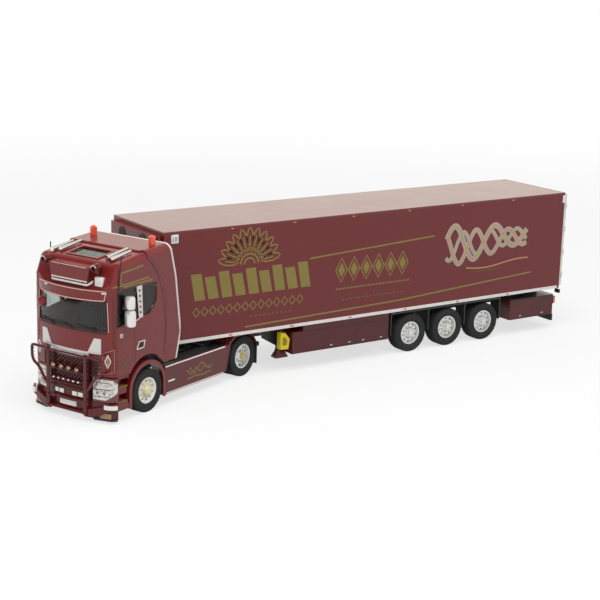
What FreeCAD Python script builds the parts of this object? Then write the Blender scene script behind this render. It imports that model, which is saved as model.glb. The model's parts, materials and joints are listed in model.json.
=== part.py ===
# A 1:50 die-cast scale model of an articulated refrigerated lorry.
# A two-axle, tall-cab tractor with a bull bar pulls a three-axle box semi-trailer.
# Lengths are in millimetres at the model's own size, +X forward, +Y left, +Z up.
# The tractor is modelled straight, with its origin on the ground under the fifth wheel.
# The trailer is modelled straight, with its origin on the ground under its front wall.

import FreeCAD, Part
import math
import os

V = FreeCAD.Vector
X_AXIS, Y_AXIS, Z_AXIS = V(1, 0, 0), V(0, 1, 0), V(0, 0, 1)
FULL_TURN = 360.0
SIDES = (1, -1)
SIDE_NAMES = {1: "left", -1: "right"}

# Driving dimensions of the whole vehicle
TYRE_R = 10.6
WHEELBASE = 75.5
KINGPIN_TO_FRONT_AXLE = 68.8
FRONT_OVERHANG = 27.6
CAB_W = 49.4
CAB_LENGTH = 40.4
CAB_FLOOR_Z = 22.0
CAB_ROOF_FRONT_Z = 74.2
CAB_ROOF_Z = 77.0
SPOILER_Z = 78.8
ARTICULATION_DEG = 21.3
BOX_L = 266.0
BOX_W = 51.6
BOX_BOTTOM_Z = 23.9
BOX_TOP_Z = 80.4
KINGPIN_SETBACK = 34.8
TRAILER_AXLE_MID = 181.0
TRAILER_AXLE_STEP = 26.2
TRAILER_AXLES = 3

# Clearances that the whole vehicle shares
SEAT_GAP = 0.3
RUN_GAP = 0.05
SIDE_GAP = 0.15
OVERRUN = 2.0
SAME_PLACE = 0.0001

# Places that follow from the driving dimensions
HUB_Z = TYRE_R
FRONT_AXLE_X = KINGPIN_TO_FRONT_AXLE
DRIVE_AXLE_X = KINGPIN_TO_FRONT_AXLE - WHEELBASE
CAB_FRONT_X = FRONT_AXLE_X + FRONT_OVERHANG
CAB_REAR_X = CAB_FRONT_X - CAB_LENGTH
CAB_HALF = CAB_W / 2
BOX_HALF = BOX_W / 2

nodes = {}


# Small makers that every piece uses

def block(x0, x1, y0, y1, z0, z1):
    return Part.makeBox(abs(x1 - x0), abs(y1 - y0), abs(z1 - z0),
                        V(min(x0, x1), min(y0, y1), min(z0, z1)))


def rod(start, end, radius):
    way = end - start
    return Part.makeCylinder(radius, way.Length, start, way)


def corner_arc(before, corner, after, radius):
    """Tangent points and middle of the arc that rounds one corner of an outline."""
    a = (before - corner).normalize()
    b = (after - corner).normalize()
    half = math.acos(max(-1.0, min(1.0, a.dot(b)))) / 2
    reach = radius / math.tan(half)
    inward = (a + b).normalize()
    centre = corner + inward * (radius / math.sin(half))
    return corner + a * reach, centre - inward * radius, corner + b * reach


def rounded_edges(points, radii, closed=True):
    """Edges of an outline through the points, each corner rounded by its own radius."""
    count = len(points)
    corners = []
    for i, point in enumerate(points):
        inner = closed or 0 < i < count - 1
        if radii[i] and inner:
            corners.append(corner_arc(points[i - 1], point, points[(i + 1) % count], radii[i]))
        else:
            corners.append((point, None, point))
    edges = []
    for i, (start, middle, end) in enumerate(corners):
        if middle is not None:
            edges.append(Part.Arc(start, middle, end).toShape())
        if not closed and i == count - 1:
            break
        follow = corners[(i + 1) % count][0]
        if (end - follow).Length > SAME_PLACE:
            edges.append(Part.LineSegment(end, follow).toShape())
    return edges


def slab(points, radii, way):
    """A flat outline with rounded corners, extruded."""
    if not isinstance(radii, (list, tuple)):
        radii = [radii] * len(points)
    wire = Part.Wire(rounded_edges(points, radii))
    return Part.Face(wire).extrude(way)


def slab_xz(points, radii, y0, y1):
    return slab([V(x, y0, z) for x, z in points], radii, V(0, y1 - y0, 0))


def slab_xy(points, radii, z0, z1):
    return slab([V(x, y, z0) for x, y in points], radii, V(0, 0, z1 - z0))


def slab_yz(points, radii, x0, x1):
    return slab([V(x0, y, z) for y, z in points], radii, V(x1 - x0, 0, 0))


def tube(points, bend, radius):
    """A round tube along straight runs joined by tangent bends."""
    path = Part.Wire(rounded_edges(points, [bend] * len(points), closed=False))
    way = (points[1] - points[0]).normalize()
    ring = Part.Wire(Part.Circle(points[0], way, radius).toShape())
    return path.makePipeShell([ring], True, True)


def turned(profile, centre, axis=Y_AXIS):
    """A solid of revolution about an axle line; profile holds (along the axle, radius)."""
    points = [centre + axis * along + Z_AXIS * radius for along, radius in profile]
    points.append(points[0])
    return Part.Face(Part.makePolygon(points)).revolve(centre, axis, FULL_TURN)


def arch_solid(x, z, radius, y0, y1, low):
    """A round-topped prism across a wheel: a half round with straight legs down to low."""
    round_top = rod(V(x, y0, z), V(x, y1, z), radius)
    legs = block(x - radius, x + radius, y0, y1, low, z)
    return round_top.fuse(legs).common(block(x - radius, x + radius, y0, y1, low, z + radius))


def joined(*shapes):
    whole = shapes[0]
    if len(shapes) > 1:
        whole = whole.multiFuse(list(shapes[1:]))
    return whole.removeSplitter()


def mirrored(shape):
    return shape.mirror(V(0, 0, 0), Y_AXIS)


def both_sides(shape):
    return [shape, mirrored(shape)]


def add(name, *solids):
    nodes[name] = list(solids)


# The cab: one casting, open below, with a bowed front, rounded shoulders and window openings
CAB_WALL = 1.2
CAB_BOW = 3.2
CAB_CORNER_R = 3.4
CORNER_FULLNESS_SHARE = 0.72
SHOULDER_R = 3.6
BROW_Z = 61.5
BROW_SETBACK = 1.6
BROW_R = 6.0
ROOF_FRONT_SETBACK = 7.0
ROOF_FRONT_R = 3.0
SEAM_TOP_SETBACK = 13.4
SEAM_KNEE_Z = 58.0
SEAM_KNEE_R = 16.0
SILL_Z = 43.2
WINDSCREEN_HALF = 21.2
WINDSCREEN_TOP_HALF = 20.4
WINDSCREEN_TOP_Z = 60.4
WINDOW_R = 1.4
WINDOW_TOP_Z = 62.3
DOOR_WINDOW_FRONT_X = 91.0
DOOR_WINDOW_REAR_X = 75.2
DOOR_WINDOW_FRONT_Z = 45.4
QUARTER_FRONT_X = 73.8
QUARTER_REAR_X = 63.0
QUARTER_BOTTOM_Z = 47.8
QUARTER_KNEE_Z = 53.2
SKYLIGHT_HALF = 9.0
SKYLIGHT_REAR_X = 76.0
SKYLIGHT_FRONT_X = 86.3
HATCH_RIM = 0.9
HATCH_LIFT = 0.5
ARCH_X = 69.6
ARCH_Z = 14.2
ARCH_R = 14.3
GLASS_T = 0.5
GLASS_INSET = 0.35
GLASS_GAP = 0.1
SEAM_TOP_X = CAB_REAR_X + SEAM_TOP_SETBACK
ROOF_FRONT_X = CAB_FRONT_X - ROOF_FRONT_SETBACK

# The nose below the windscreen
GRILLE_HALF = 17.2
GRILLE_TOP_Z = 29.8
GRILLE_BAND = 1.6
GRILLE_BOTTOM_Z = 14.2
GRILLE_T = 0.9
GRILLE_FRAME = 0.6
GRILLE_HOLE = 1.6
GRILLE_BAR = 0.7
HEADLAMP_IN_Y = 12.2
HEADLAMP_LOW_Z = 9.9
HEADLAMP_TOP_Z = 21.4
HEADLAMP_DEPTH = 2.4
HEADLAMP_SETBACK = 6.0
HEADLAMP_REAR_X = CAB_FRONT_X - HEADLAMP_SETBACK
NOSE_CUT_X = CAB_FRONT_X - CAB_BOW * 2


def plan_outline(inset=0.0):
    """The cab's outline from above: flat sides, bowed nose, rounded corners."""
    half = CAB_HALF - inset
    nose = CAB_FRONT_X - inset
    cheek = nose - CAB_BOW
    tail = DRIVE_AXLE_X
    bow = Part.Arc(V(cheek, half - CAB_CORNER_R, 0), V(nose, 0, 0), V(cheek, CAB_CORNER_R - half, 0))
    start = V(cheek, half - CAB_CORNER_R, 0)
    side = V(cheek - CAB_CORNER_R, half, 0)
    spread = CAB_CORNER_R * CORNER_FULLNESS_SHARE
    middle = V(cheek - CAB_CORNER_R + spread, half - CAB_CORNER_R + spread, 0)
    right = Part.Arc(V(start.x, -start.y, 0), V(middle.x, -middle.y, 0), V(side.x, -side.y, 0))
    edges = [bow.toShape(),
             right.toShape(),
             Part.LineSegment(V(side.x, -side.y, 0), V(tail, -half, 0)).toShape(),
             Part.LineSegment(V(tail, -half, 0), V(tail, half, 0)).toShape(),
             Part.LineSegment(V(tail, half, 0), side).toShape(),
             Part.Arc(side, middle, start).toShape()]
    return Part.Wire(edges)


def plan_prism(z0, z1, inset=0.0):
    wire = plan_outline(inset)
    wire.translate(V(0, 0, z0))
    return Part.Face(wire).extrude(V(0, 0, z1 - z0))


def nose_skin(z0, z1, y0, y1, proud, depth):
    """A band that follows the bowed nose, from proud of it to a depth behind it."""
    band = plan_prism(z0, z1, -proud).cut(plan_prism(z0 - OVERRUN, z1 + OVERRUN, depth))
    window = block(CAB_FRONT_X - CAB_LENGTH / 2, CAB_FRONT_X + CAB_BOW, y0, y1, z0, z1)
    return band.common(window)


def cab_form(inset, rear=0.0, floor=0.0):
    """The cab's outer form, or the same form drawn in on every side."""
    half = CAB_HALF - inset
    nose = CAB_FRONT_X + OVERRUN
    points = [(CAB_REAR_X + rear, CAB_FLOOR_Z + floor),
              (nose, CAB_FLOOR_Z + floor),
              (nose, SILL_Z),
              (CAB_FRONT_X - BROW_SETBACK - inset, BROW_Z),
              (ROOF_FRONT_X - inset, CAB_ROOF_FRONT_Z - inset),
              (SEAM_TOP_X + rear, CAB_ROOF_Z - inset),
              (CAB_REAR_X + rear, SEAM_KNEE_Z)]
    radii = [0, 0, 0, BROW_R, ROOF_FRONT_R, 0, SEAM_KNEE_R]
    form = slab_xz(points, radii, -half, half)
    shoulder = max(SHOULDER_R - inset, SHOULDER_R / 2)
    top = [e for e in form.Edges
           if abs(abs(e.CenterOfMass.y) - half) < SAME_PLACE and e.BoundBox.ZMin > BROW_Z + SHOULDER_R
           and e.BoundBox.XMax > SEAM_TOP_X + rear + SAME_PLACE]
    form = form.makeFillet(shoulder, top)
    return form.common(plan_prism(CAB_FLOOR_Z - OVERRUN * 2, CAB_ROOF_Z + OVERRUN, inset))


def roof_height(x):
    share = (ROOF_FRONT_X - x) / (ROOF_FRONT_X - SEAM_TOP_X)
    return CAB_ROOF_FRONT_Z + share * (CAB_ROOF_Z - CAB_ROOF_FRONT_Z)


def windscreen_opening(shrink=0.0):
    low, high = WINDSCREEN_HALF - shrink, WINDSCREEN_TOP_HALF - shrink
    points = [(-low, SILL_Z + shrink), (low, SILL_Z + shrink),
              (high, WINDSCREEN_TOP_Z - shrink), (-high, WINDSCREEN_TOP_Z - shrink)]
    rear = CAB_FRONT_X - CAB_BOW - CAB_CORNER_R - BROW_SETBACK
    return slab_yz(points, WINDOW_R, rear, CAB_FRONT_X + OVERRUN)


def side_openings(y0, y1, shrink=0.0):
    door = [(DOOR_WINDOW_REAR_X + shrink, QUARTER_BOTTOM_Z + shrink),
            (DOOR_WINDOW_FRONT_X - shrink, DOOR_WINDOW_FRONT_Z + shrink),
            (DOOR_WINDOW_FRONT_X - shrink, WINDOW_TOP_Z - shrink),
            (DOOR_WINDOW_REAR_X + shrink, WINDOW_TOP_Z - shrink)]
    quarter = [(QUARTER_REAR_X + shrink, QUARTER_KNEE_Z + shrink),
               (QUARTER_REAR_X + (QUARTER_FRONT_X - QUARTER_REAR_X) / 2, QUARTER_BOTTOM_Z + shrink),
               (QUARTER_FRONT_X - shrink, QUARTER_BOTTOM_Z + shrink),
               (QUARTER_FRONT_X - shrink, WINDOW_TOP_Z - shrink),
               (QUARTER_REAR_X + shrink, WINDOW_TOP_Z - shrink)]
    corners = [WINDOW_R * 2, WINDOW_R, 0, WINDOW_R, WINDOW_R]
    return slab_xz(door, WINDOW_R, y0, y1), slab_xz(quarter, corners, y0, y1)


def skylight_opening(grow=0.0):
    return block(SKYLIGHT_REAR_X - grow, SKYLIGHT_FRONT_X + grow, -SKYLIGHT_HALF - grow, SKYLIGHT_HALF + grow,
                 CAB_ROOF_FRONT_Z - CAB_WALL, CAB_ROOF_Z + OVERRUN)


def cab_arch(y0, y1, grow=0.0):
    return rod(V(ARCH_X, y0, ARCH_Z), V(ARCH_X, y1, ARCH_Z), ARCH_R + grow)


def cab_shell():
    shell = cab_form(0).cut(cab_form(CAB_WALL, CAB_WALL, -OVERRUN))
    raised = cab_form(0)
    raised.translate(V(0, 0, HATCH_LIFT))
    shell = joined(shell, raised.common(skylight_opening(HATCH_RIM)))
    tools = [windscreen_opening(), skylight_opening()]
    tools += side_openings(-CAB_HALF - OVERRUN, CAB_HALF + OVERRUN)
    tools.append(block(CAB_FRONT_X - CAB_BOW - CAB_WALL, CAB_FRONT_X + OVERRUN, -GRILLE_HALF, GRILLE_HALF,
                       CAB_FLOOR_Z - OVERRUN, GRILLE_TOP_Z))
    tools.append(cab_arch(-CAB_HALF - OVERRUN, CAB_HALF + OVERRUN))
    add("cab_shell", shell.cut(tools).removeSplitter())


def cab_windows():
    pane = cab_form(GLASS_INSET).cut(cab_form(GLASS_INSET + GLASS_T))
    panes = [pane.common(windscreen_opening(GLASS_GAP)), pane.common(skylight_opening(-GLASS_GAP))]
    for y0, y1 in ((0, CAB_HALF + OVERRUN), (-CAB_HALF - OVERRUN, 0)):
        panes += [pane.common(opening) for opening in side_openings(y0, y1, GLASS_GAP)]
    add("cab_windows", *panes)


# The tray that closes the cab from below, with seats, dashboard and steering wheel
TRAY_T = 1.2
HUMP_IN_Y = 10.4
HUMP_T = 0.8
SEAT_Y = 12.0
SEAT_W = 9.0
SEAT_X = 69.0
SEAT_DEPTH = 8.5
SEAT_BASE_H = 8.5
SEAT_BACK_H = 22.0
SEAT_BACK_T = 2.2
SEAT_R = 1.0
DASH_REAR_X = 85.0
DASH_TOP_Z = 41.8
DASH_LIP_Z = 38.0
BULKHEAD_X = 89.0
BULKHEAD_T = 1.0
STEERING_R = 4.2
STEERING_TUBE_R = 0.45
STEERING_X = 81.6
STEERING_Z = 39.6
STEERING_TILT_DEG = 35.0


def cab_interior():
    floor = CAB_FLOOR_Z + TRAY_T
    room = cab_form(CAB_WALL, CAB_WALL)
    tray = room.common(block(CAB_REAR_X, CAB_FRONT_X - CAB_BOW * 2, -CAB_HALF, CAB_HALF, CAB_FLOOR_Z, floor))
    parts = [tray]
    inner = CAB_HALF - CAB_WALL
    for side in SIDES:
        hump = cab_arch(side * (HUMP_IN_Y - HUMP_T), side * inner, HUMP_T)
        parts.append(hump.common(block(CAB_REAR_X + CAB_WALL, CAB_FRONT_X, -CAB_HALF, CAB_HALF, CAB_FLOOR_Z,
                                       CAB_ROOF_Z)))
    base = [(SEAT_X, floor), (SEAT_X + SEAT_DEPTH, floor),
            (SEAT_X + SEAT_DEPTH, floor + SEAT_BASE_H), (SEAT_X + SEAT_BACK_T, floor + SEAT_BASE_H),
            (SEAT_X + SEAT_BACK_T / 2, floor + SEAT_BACK_H), (SEAT_X - SEAT_BACK_T / 2, floor + SEAT_BACK_H)]
    for side in SIDES:
        low, high = sorted((side * (SEAT_Y - SEAT_W / 2), side * (SEAT_Y + SEAT_W / 2)))
        parts.append(slab_xz(base, [0, 0, SEAT_R, SEAT_R, SEAT_R, SEAT_R], low, high))
    front = CAB_FRONT_X + OVERRUN
    dash = slab_xz([(DASH_REAR_X, floor + SEAT_BASE_H), (front, floor + SEAT_BASE_H), (front, DASH_TOP_Z),
                    (DASH_REAR_X + SEAT_R * 2, DASH_TOP_Z), (DASH_REAR_X, DASH_LIP_Z)], 0, -CAB_HALF, CAB_HALF)
    bulkhead = block(BULKHEAD_X, BULKHEAD_X + BULKHEAD_T, -CAB_HALF, CAB_HALF, CAB_FLOOR_Z, DASH_LIP_Z)
    parts += [piece.common(cab_form(CAB_WALL + SEAT_GAP)) for piece in (dash, bulkhead)]
    centre = V(STEERING_X, SEAT_Y, STEERING_Z)
    way = V(-math.sin(math.radians(STEERING_TILT_DEG)), 0, math.cos(math.radians(STEERING_TILT_DEG)))
    parts.append(Part.makeTorus(STEERING_R, STEERING_TUBE_R, centre, way))
    parts.append(rod(centre - Y_AXIS * STEERING_R, centre + Y_AXIS * STEERING_R, STEERING_TUBE_R))
    parts.append(rod(centre, V(DASH_REAR_X + SEAT_R * 2, SEAT_Y, STEERING_Z - STEERING_R), STEERING_TUBE_R * 3 / 2))
    whole = joined(*parts)
    hollow = [cab_arch(side * HUMP_IN_Y, side * CAB_HALF) for side in SIDES]
    add("cab_interior", whole.cut(hollow))


# The roof air deflector with its two side wings, one thin moulding open to the rear
DEFLECTOR_T = 1.0
DEFLECTOR_TOP_X = 52.8
DEFLECTOR_MID_X = 48.5
DEFLECTOR_MID_Z = 62.8
DEFLECTOR_LOW_X = 44.6
DEFLECTOR_LOW_Z = 35.1
DEFLECTOR_FOOT_X = 47.8
EDGE_SWEEP_R = 30.0
LIP_L = 1.8
LIP_H = 0.7


def deflector_form(inset, open_rear):
    half = CAB_HALF - inset
    run = SEAM_TOP_X + OVERRUN * 2
    lead = CAB_ROOF_Z + LIP_H - inset
    rise = (SPOILER_Z - CAB_ROOF_Z - LIP_H) / (SEAM_TOP_X - DEFLECTOR_TOP_X)
    foot = CAB_FLOOR_Z - (open_rear if inset else 0)
    points = [(run, foot), (run, lead), (SEAM_TOP_X, lead),
              (DEFLECTOR_TOP_X - open_rear, SPOILER_Z - inset + rise * open_rear),
              (DEFLECTOR_MID_X - open_rear, DEFLECTOR_MID_Z), (DEFLECTOR_LOW_X - open_rear, DEFLECTOR_LOW_Z),
              (DEFLECTOR_FOOT_X - open_rear, foot)]
    form = slab_xz(points, [0, 0, 0, 0, EDGE_SWEEP_R, EDGE_SWEEP_R, 0], -half, half)
    shoulder = max(SHOULDER_R - inset, SHOULDER_R / 2)
    top = [e for e in form.Edges
           if abs(abs(e.CenterOfMass.y) - half) < SAME_PLACE and e.BoundBox.ZMin > DEFLECTOR_MID_Z + SHOULDER_R * 2
           and e.BoundBox.XMax - e.BoundBox.XMin > OVERRUN]
    return form.makeFillet(shoulder, top)


def air_deflector():
    hull = deflector_form(0, 0).cut(deflector_form(DEFLECTOR_T, OVERRUN * 3))
    hull = hull.cut(block(SEAM_TOP_X, CAB_FRONT_X, -CAB_W, CAB_W, CAB_FLOOR_Z - OVERRUN, SPOILER_Z + OVERRUN))
    hull = hull.cut(cab_form(0, -SIDE_GAP))
    half = CAB_HALF - SHOULDER_R
    root = SEAM_TOP_X - LIP_L
    lip = slab_xz([(root, CAB_ROOF_Z - SIDE_GAP), (SEAM_TOP_X + LIP_L, CAB_ROOF_Z - LIP_H),
                   (SEAM_TOP_X + LIP_L, CAB_ROOF_Z + LIP_H / 3), (SEAM_TOP_X + LIP_L - LIP_H, CAB_ROOF_Z + LIP_H),
                   (root, CAB_ROOF_Z + LIP_H)], 0, -half, half)
    add("air_deflector", joined(hull, lip.cut(cab_form(0)).cut(cab_form(0, -SIDE_GAP))))


# Mesh grille, pale trim with the blank number plate, headlamps, bumper and entry steps
TRIM_PROUD = 0.35
TRIM_TOP_Z = 39.8
TRIM_LOW_Z = 33.0
TRIM_HALF = 18.0
TRIM_STRIP_HALF = 11.6
TRIM_SLANT = 3.0
PLATE_HALF_W = 5.1
PLATE_LOW_Z = 5.7
PLATE_TOP_Z = 8.1
PLATE_T = 0.5
BUMPER_LOW_Z = 3.4
BUMPER_TOP_Z = 9.7
BUMPER_PROUD = 0.3
BUMPER_DEPTH = 1.6
LIP_LOW_Z = 1.6
LIP_IN_Y = 13.0
TURN_LAMP_Y = (17.8, 23.2)
TURN_LAMP_Z = (2.2, 4.8)
LAMP_PROUD = 0.4
STEP_IN_Y = 16.0
STEP_REAR_X = 82.6
STEP_TREADS_Z = (9.3, 16.4)
STEP_OPENING_H = 4.2
STEP_OPENING_DEPTH = 4.0
STEP_LOW_Z = 5.5
STEP_SIDE = 0.6
RAIL_Y = 7.6
RAIL_W = 1.4


def grille_outline(half, low_half, step_z, top_z):
    return [(-half, top_z), (-half, step_z), (-low_half, step_z), (-low_half, GRILLE_BOTTOM_Z),
            (low_half, GRILLE_BOTTOM_Z), (low_half, step_z), (half, step_z), (half, top_z)]


def front_grille():
    step = HEADLAMP_TOP_Z + SIDE_GAP
    half, low_half = GRILLE_HALF - SIDE_GAP, HEADLAMP_IN_Y - SIDE_GAP
    top = GRILLE_TOP_Z - SIDE_GAP
    outline = grille_outline(half, low_half, step, top)
    panel = nose_skin(GRILLE_BOTTOM_Z, top, -half, half, 0, GRILLE_T)
    panel = panel.common(slab_yz(outline, 0, NOSE_CUT_X, CAB_FRONT_X + OVERRUN))
    pitch = GRILLE_HOLE + GRILLE_BAR
    rows = int((top - GRILLE_BAND - GRILLE_BOTTOM_Z - GRILLE_FRAME) / pitch)
    holes = []
    for row in range(rows):
        z = top - GRILLE_BAND - GRILLE_HOLE / 2 - row * pitch
        reach = half if z - GRILLE_HOLE / 2 > step + GRILLE_FRAME else low_half
        columns = int((reach - GRILLE_FRAME) * 2 / pitch) - row % 2
        for column in range(columns):
            y = (column - (columns - 1) / 2) * pitch
            holes.append(block(NOSE_CUT_X, CAB_FRONT_X + OVERRUN, y - GRILLE_HOLE / 2, y + GRILLE_HOLE / 2,
                               z - GRILLE_HOLE / 2, z + GRILLE_HOLE / 2))
    add("front_grille", panel.cut(holes))


def front_trim():
    outline = []
    for side in SIDES:
        wing = [(TRIM_STRIP_HALF, GRILLE_TOP_Z), (TRIM_STRIP_HALF, TRIM_LOW_Z - TRIM_PROUD * 2),
                (TRIM_HALF, TRIM_LOW_Z - TRIM_PROUD * 2), (TRIM_HALF, TRIM_TOP_Z),
                (TRIM_STRIP_HALF + TRIM_SLANT, TRIM_TOP_Z), (TRIM_STRIP_HALF - TRIM_PROUD, TRIM_LOW_Z)]
        outline += [(side * y, z) for y, z in (wing if side > 0 else wing[::-1])]
    window = slab_yz(outline, 0, NOSE_CUT_X, CAB_FRONT_X + OVERRUN)
    skin = nose_skin(GRILLE_TOP_Z, TRIM_TOP_Z, -TRIM_HALF, TRIM_HALF, TRIM_PROUD, 0)
    plate = nose_skin(PLATE_LOW_Z, PLATE_TOP_Z, -PLATE_HALF_W, PLATE_HALF_W, BUMPER_PROUD + PLATE_T, -BUMPER_PROUD)
    add("front_trim", skin.common(window), plate)


def headlamps():
    lamp = nose_skin(HEADLAMP_LOW_Z, HEADLAMP_TOP_Z, HEADLAMP_IN_Y, CAB_HALF + OVERRUN, 0, HEADLAMP_DEPTH)
    lamp = lamp.common(block(HEADLAMP_REAR_X, CAB_FRONT_X, 0, CAB_HALF + OVERRUN, 0, HEADLAMP_TOP_Z))
    add("headlamps", *both_sides(lamp))


def bumper():
    wide = CAB_HALF + OVERRUN
    band = nose_skin(BUMPER_LOW_Z, BUMPER_TOP_Z, -wide, wide, BUMPER_PROUD, BUMPER_DEPTH)
    centre = nose_skin(BUMPER_TOP_Z - BUMPER_DEPTH, GRILLE_BOTTOM_Z - SIDE_GAP, -HEADLAMP_IN_Y + SIDE_GAP,
                       HEADLAMP_IN_Y - SIDE_GAP, BUMPER_PROUD, BUMPER_DEPTH)
    lips = [nose_skin(LIP_LOW_Z, BUMPER_LOW_Z + BUMPER_DEPTH, side * LIP_IN_Y, side * wide, BUMPER_PROUD,
                      BUMPER_DEPTH) for side in SIDES]
    whole = joined(band, centre, *lips)
    whole = whole.common(block(HEADLAMP_REAR_X, CAB_FRONT_X + OVERRUN, -wide, wide, 0, GRILLE_BOTTOM_Z))
    crossbar = block(CAB_FRONT_X - CAB_BOW - BUMPER_DEPTH - CAB_CORNER_R, CAB_FRONT_X - BUMPER_DEPTH / 2,
                     -RAIL_Y - RAIL_W, RAIL_Y + RAIL_W, BUMPER_LOW_Z + BUMPER_DEPTH, BUMPER_TOP_Z)
    stays = [block(HEADLAMP_REAR_X - BUMPER_DEPTH, CAB_FRONT_X - CAB_BOW - BUMPER_DEPTH, side * RAIL_Y,
                   side * (RAIL_Y + RAIL_W), BUMPER_LOW_Z + BUMPER_DEPTH, RAIL_LOW_Z) for side in SIDES]
    add("bumper", joined(whole, crossbar.common(plan_prism(0, GRILLE_TOP_Z, 0)), *stays))
    lamp = nose_skin(TURN_LAMP_Z[0], TURN_LAMP_Z[1], TURN_LAMP_Y[0], TURN_LAMP_Y[1], BUMPER_PROUD + LAMP_PROUD,
                     -BUMPER_PROUD)
    lamp = lamp.common(block(HEADLAMP_REAR_X, CAB_FRONT_X, 0, CAB_HALF, 0, BUMPER_TOP_Z))
    add("turn_lamps", *both_sides(lamp))


def cab_steps():
    solid = block(STEP_REAR_X, HEADLAMP_REAR_X - SIDE_GAP, STEP_IN_Y, CAB_HALF, STEP_LOW_Z,
                  CAB_FLOOR_Z - SIDE_GAP)
    solid = solid.common(plan_prism(0, CAB_FLOOR_Z, SIDE_GAP))
    solid = solid.cut(cab_arch(0, CAB_HALF, SEAT_GAP))
    for tread in STEP_TREADS_Z:
        solid = solid.cut(block(STEP_REAR_X + STEP_SIDE, HEADLAMP_REAR_X - SIDE_GAP - STEP_SIDE,
                                CAB_HALF - STEP_OPENING_DEPTH, CAB_HALF + OVERRUN, tread, tread + STEP_OPENING_H))
    add("cab_steps", *both_sides(solid))


# The bull bar: two flat uprights before the nose, thin cross tubes, side loops and low wings
BAR_GAP = 1.6
BAR_T = 1.0
BAR_IN_Y = 10.5
BAR_OUT_Y = 12.5
BAR_TOP_Z = 31.5
BAR_LOW_Z = 2.8
BAR_R = 0.6
BAR_THIN_R = 0.38
BAR_THICK_Z = (4.0, 9.4)
BAR_THIN_Z = (14.6, 16.3, 18.0)
LOOP_R = 0.75
LOOP_BEND = 2.0
LOOP_OUT_Y = 22.0
LOOP_TOP_Z = 30.2
LOOP_KNEE_Z = 21.6
LOOP_ELBOW_Y = 16.8
LOOP_ELBOW_Z = 17.6
LOOP_LOW_Z = 15.4
LOOP_SETBACK = 2.4
LOOP_LAMP_SHARES = (0.24, 0.44, 0.64, 0.84)
SMALL_LAMP_R = 0.55
WING_PROUD = 2.2
WING_T = 1.2
WING_ROOT_Z = (2.4, 5.6)
WING_MID_Y = 19.0
WING_MID_Z = (4.2, 8.0)
WING_TIP_Y = 24.6
WING_TIP_Z = (7.4, 10.0)
WING_LAMP_Y = (18.6, 23.8)
WING_LAMP_Z = (6.2, 8.6)
SPOT_Y = (7.3, 2.3, -2.3, -7.3)
SPOT_Z = 24.1
SPOT_R = 1.4
SPOT_DEPTH = 1.1
ROW_LAMP_Y = (5.6, 1.9, -1.9, -5.6)
FOG_LAMP_Y = (2.2, 8.6)
FOG_LAMP_Z = (10.2, 12.9)


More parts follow.
